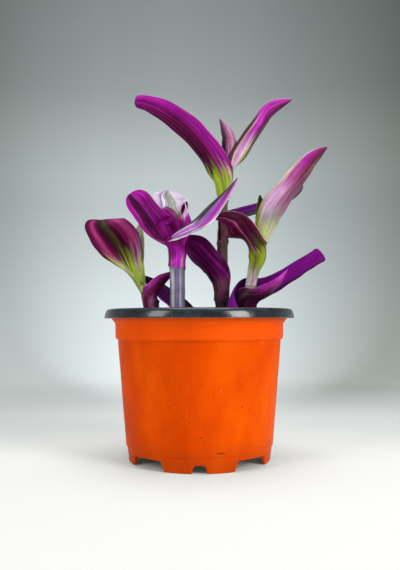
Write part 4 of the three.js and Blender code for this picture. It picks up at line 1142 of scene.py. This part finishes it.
# kind 1 is flat bark crumbs, kind 2 rounder grains of perlite
def scatter(bm, draw, kind, count, sizes):
    for _ in range(count):
        radius, turn = soil["reach"] * math.sqrt(draw.random()), draw.uniform(0, 2 * math.pi)
        x, y = radius * math.cos(turn), radius * math.sin(turn)
        before = set(bm.faces)
        made = bmesh.ops.create_icosphere(bm, subdivisions=1, radius=1.0)
        size = draw.uniform(*sizes)
        stretch = Vector((draw.uniform(0.6, 1.7), draw.uniform(0.5, 1), draw.uniform(0.3, 0.7)))
        if kind == 2:
            stretch = Vector((1, draw.uniform(0.8, 1), draw.uniform(0.7, 0.9)))
        spin = draw.uniform(0, math.pi)
        for vert in made["verts"]:
            lump = 1 + 0.3 * noise.noise(vert.co * 1.7 + Vector((x, y, 0)))
            a, b, c = (vert.co[k] * stretch[k] * size * lump for k in range(3))
            px, py = a * math.cos(spin) - b * math.sin(spin), a * math.sin(spin) + b * math.cos(spin)
            vert.co = metres(x + px, y + py, soilLevel(x, y) + size * 0.25 + c)
        for face in set(bm.faces) - before:
            face.material_index = kind
            face.smooth = kind == 2


def makeSoil():
    # rings without a height of their own lie on the bumpy top
    profile = [(0, 7.6)] + soil["wall"] + [(43.4, None)] + [(43 - 43 * i / 40, None) for i in range(1, 41)]
    bm = bmesh.new()
    rings = len(profile) - 1
    made = bmesh.ops.create_grid(bm, x_segments=120, y_segments=rings, size=1.0)
    for vert in made["verts"]:
        angle = math.pi * (vert.co.x + 1)
        radius, z = profile[round((vert.co.y + 1) / 2 * rings)]
        x, y = radius * math.cos(angle), radius * math.sin(angle)
        vert.co = metres(x, y, soilLevel(x, y) if z is None else z)
    weld(bm, 2e-6)
    for face in bm.faces:
        face.smooth = True
    draw = random.Random(soil["seed"])
    scatter(bm, draw, 1, soil["crumbs"], soil["crumbSize"])
    scatter(bm, draw, 2, soil["perlite"], soil["perliteSize"])
    return meshFrom(bm, "soil")


def grainFinish(name, stops, scale, rough, bump):
    material, tree, shader = newMaterial(name)
    grain = noiseNode(tree, objectPlace(tree), scale, 6.0, 0.65)
    feedAll(tree, shader, {
        "Base Color": rampNode(tree, grain, stops), "Roughness": rough,
        "Normal": bumpNode(tree, grain, bump, 0.0008)})
    return material


grains = [grainFinish(name, *values) for name, values in soil["finishes"].items()]
showPiece("soilBed", makeSoil(), grains, "soil")
print("soil ready")


# Floor, backdrop and soft light; sizes in metres. The far tones run outwards from the pot to 2.4 m,
# the turn tones run round it, and 50 lies straight behind; their greys are painted shade of the backdrop
stageSetup = {
    "floorRadius": 0.55, "bowlRadius": 2.2, "bowlHeight": 1.9,
    "farTones": "0 #fbfaf8, 7 #fbfaf8, 10 #e9eae8, 16 #dde1e1, 24 #f8fdfd, 40 #f6fbfc, 52 #eff6f8, "
        "60 #e6edef, 67 #e0e7e9, 72 #e3ebeb, 78 #dee4e3, 85 #cfd5d4, 100 #c8cfce",
    "turnTones": "0 #e2e2e2, 33.33 #dcdcdc, 41.67 #c4c4c2, 43.89 #c8c9c8, 45.28 #e2e3e3, 46.94 #f5f6f6, "
                 "49.17 #ffffff, 51.39 #f4f5f5, 52.78 #e2e3e3, 54.44 #cbccca, 56.11 #aaaca6, 57.5 #a8aaa4, "
                 "62.5 #cfcfcd, 69.44 #dedede, 100 #e2e2e2",
    "world": (0.82, 0.85, 0.85, 1), "worldStrength": 0.5,
}


def makeStage(setup):
    bm = bmesh.new()
    made = bmesh.ops.create_grid(bm, x_segments=96, y_segments=60, size=1.0)
    for vert in made["verts"]:
        angle, out = math.pi * (vert.co.x + 1), (vert.co.y + 1) / 2
        radius = setup["bowlRadius"] * out
        rise = max(0.0, (radius - setup["floorRadius"]) / (setup["bowlRadius"] - setup["floorRadius"]))
        height = setup["bowlHeight"] * rise ** 2.6
        vert.co = Vector((radius * math.cos(angle), radius * math.sin(angle), height))
    bmesh.ops.remove_doubles(bm, verts=bm.verts, dist=1e-5)
    for face in bm.faces:
        face.smooth = True
    floor = addObject("floor", meshFrom(bm, "floor"))
    material, tree, shader = newMaterial("paper")
    coords = objectPlace(tree)
    length = vectorNode(tree, "DISTANCE", coords, (0, -0.12, 0))
    # painted shade of the backdrop, darker with distance and to either side behind the pot
    far = rampNode(tree, rangeNode(tree, length, 0.0, 2.4), setup["farTones"])
    x, y = splitVector(tree, coords)[:2]
    turn = rangeNode(tree, mathNode(tree, "ARCTAN2", x, y), -math.pi, math.pi)
    # the floor close by keeps its tone all the way round
    near = rangeNode(tree, length, 0.2, 0.55, smooth=True)
    side = mixColours(tree, near, colour("#ffffff"), rampNode(tree, turn, setup["turnTones"]))
    feedAll(tree, shader, {"Base Color": mixColours(tree, 1.0, far, side, "MULTIPLY"), "Roughness": 0.9})
    floor.data.materials.append(material)


# place, size and aim in metres, power in watts
lamps = {
    "keyRight": {"place": (0.62, -0.55, 0.42), "size": (0.34, 0.5), "power": 4.5, "tint": (1.0, 0.99, 0.98)},
    "keyLeft": {"place": (-0.62, -0.5, 0.46), "size": (0.3, 0.45), "power": 1.85, "tint": (1.0, 0.99, 0.97)},
    "top": {"place": (0.0, 0.05, 1.0), "size": (0.7, 0.7), "power": 3.6, "tint": (1.0, 1.0, 1.0)},
    "backdrop": {"place": (-0.05, 0.5, 0.75), "size": (0.8, 0.5), "power": 3.4, "tint": (0.97, 1.0, 1.0),
                 "aim": (-0.12, 1.3, 0.1)},
}


def makeLamp(name, lamp):
    data = bpy.data.lights.new(name, "AREA")
    data.shape = "RECTANGLE"
    data.size, data.size_y = lamp["size"]
    data.energy = lamp["power"]
    data.color = lamp["tint"]
    light = addObject(name, data)
    light.location = lamp["place"]
    aim = Vector(lamp.get("aim", (0, 0, 0.1))) - Vector(lamp["place"])
    light.rotation_euler = aim.to_track_quat("-Z", "Y").to_euler()
    light.visible_camera = False


def makeWorld(setup):
    world = bpy.data.worlds.new("studio")
    world.use_nodes = True
    background = world.node_tree.nodes["Background"]
    background.inputs["Color"].default_value = setup["world"]
    background.inputs["Strength"].default_value = setup["worldStrength"]
    bpy.context.scene.world = world


makeStage(stageSetup)
for name, lamp in lamps.items():
    makeLamp(name, lamp)
makeWorld(stageSetup)
print("stage ready")
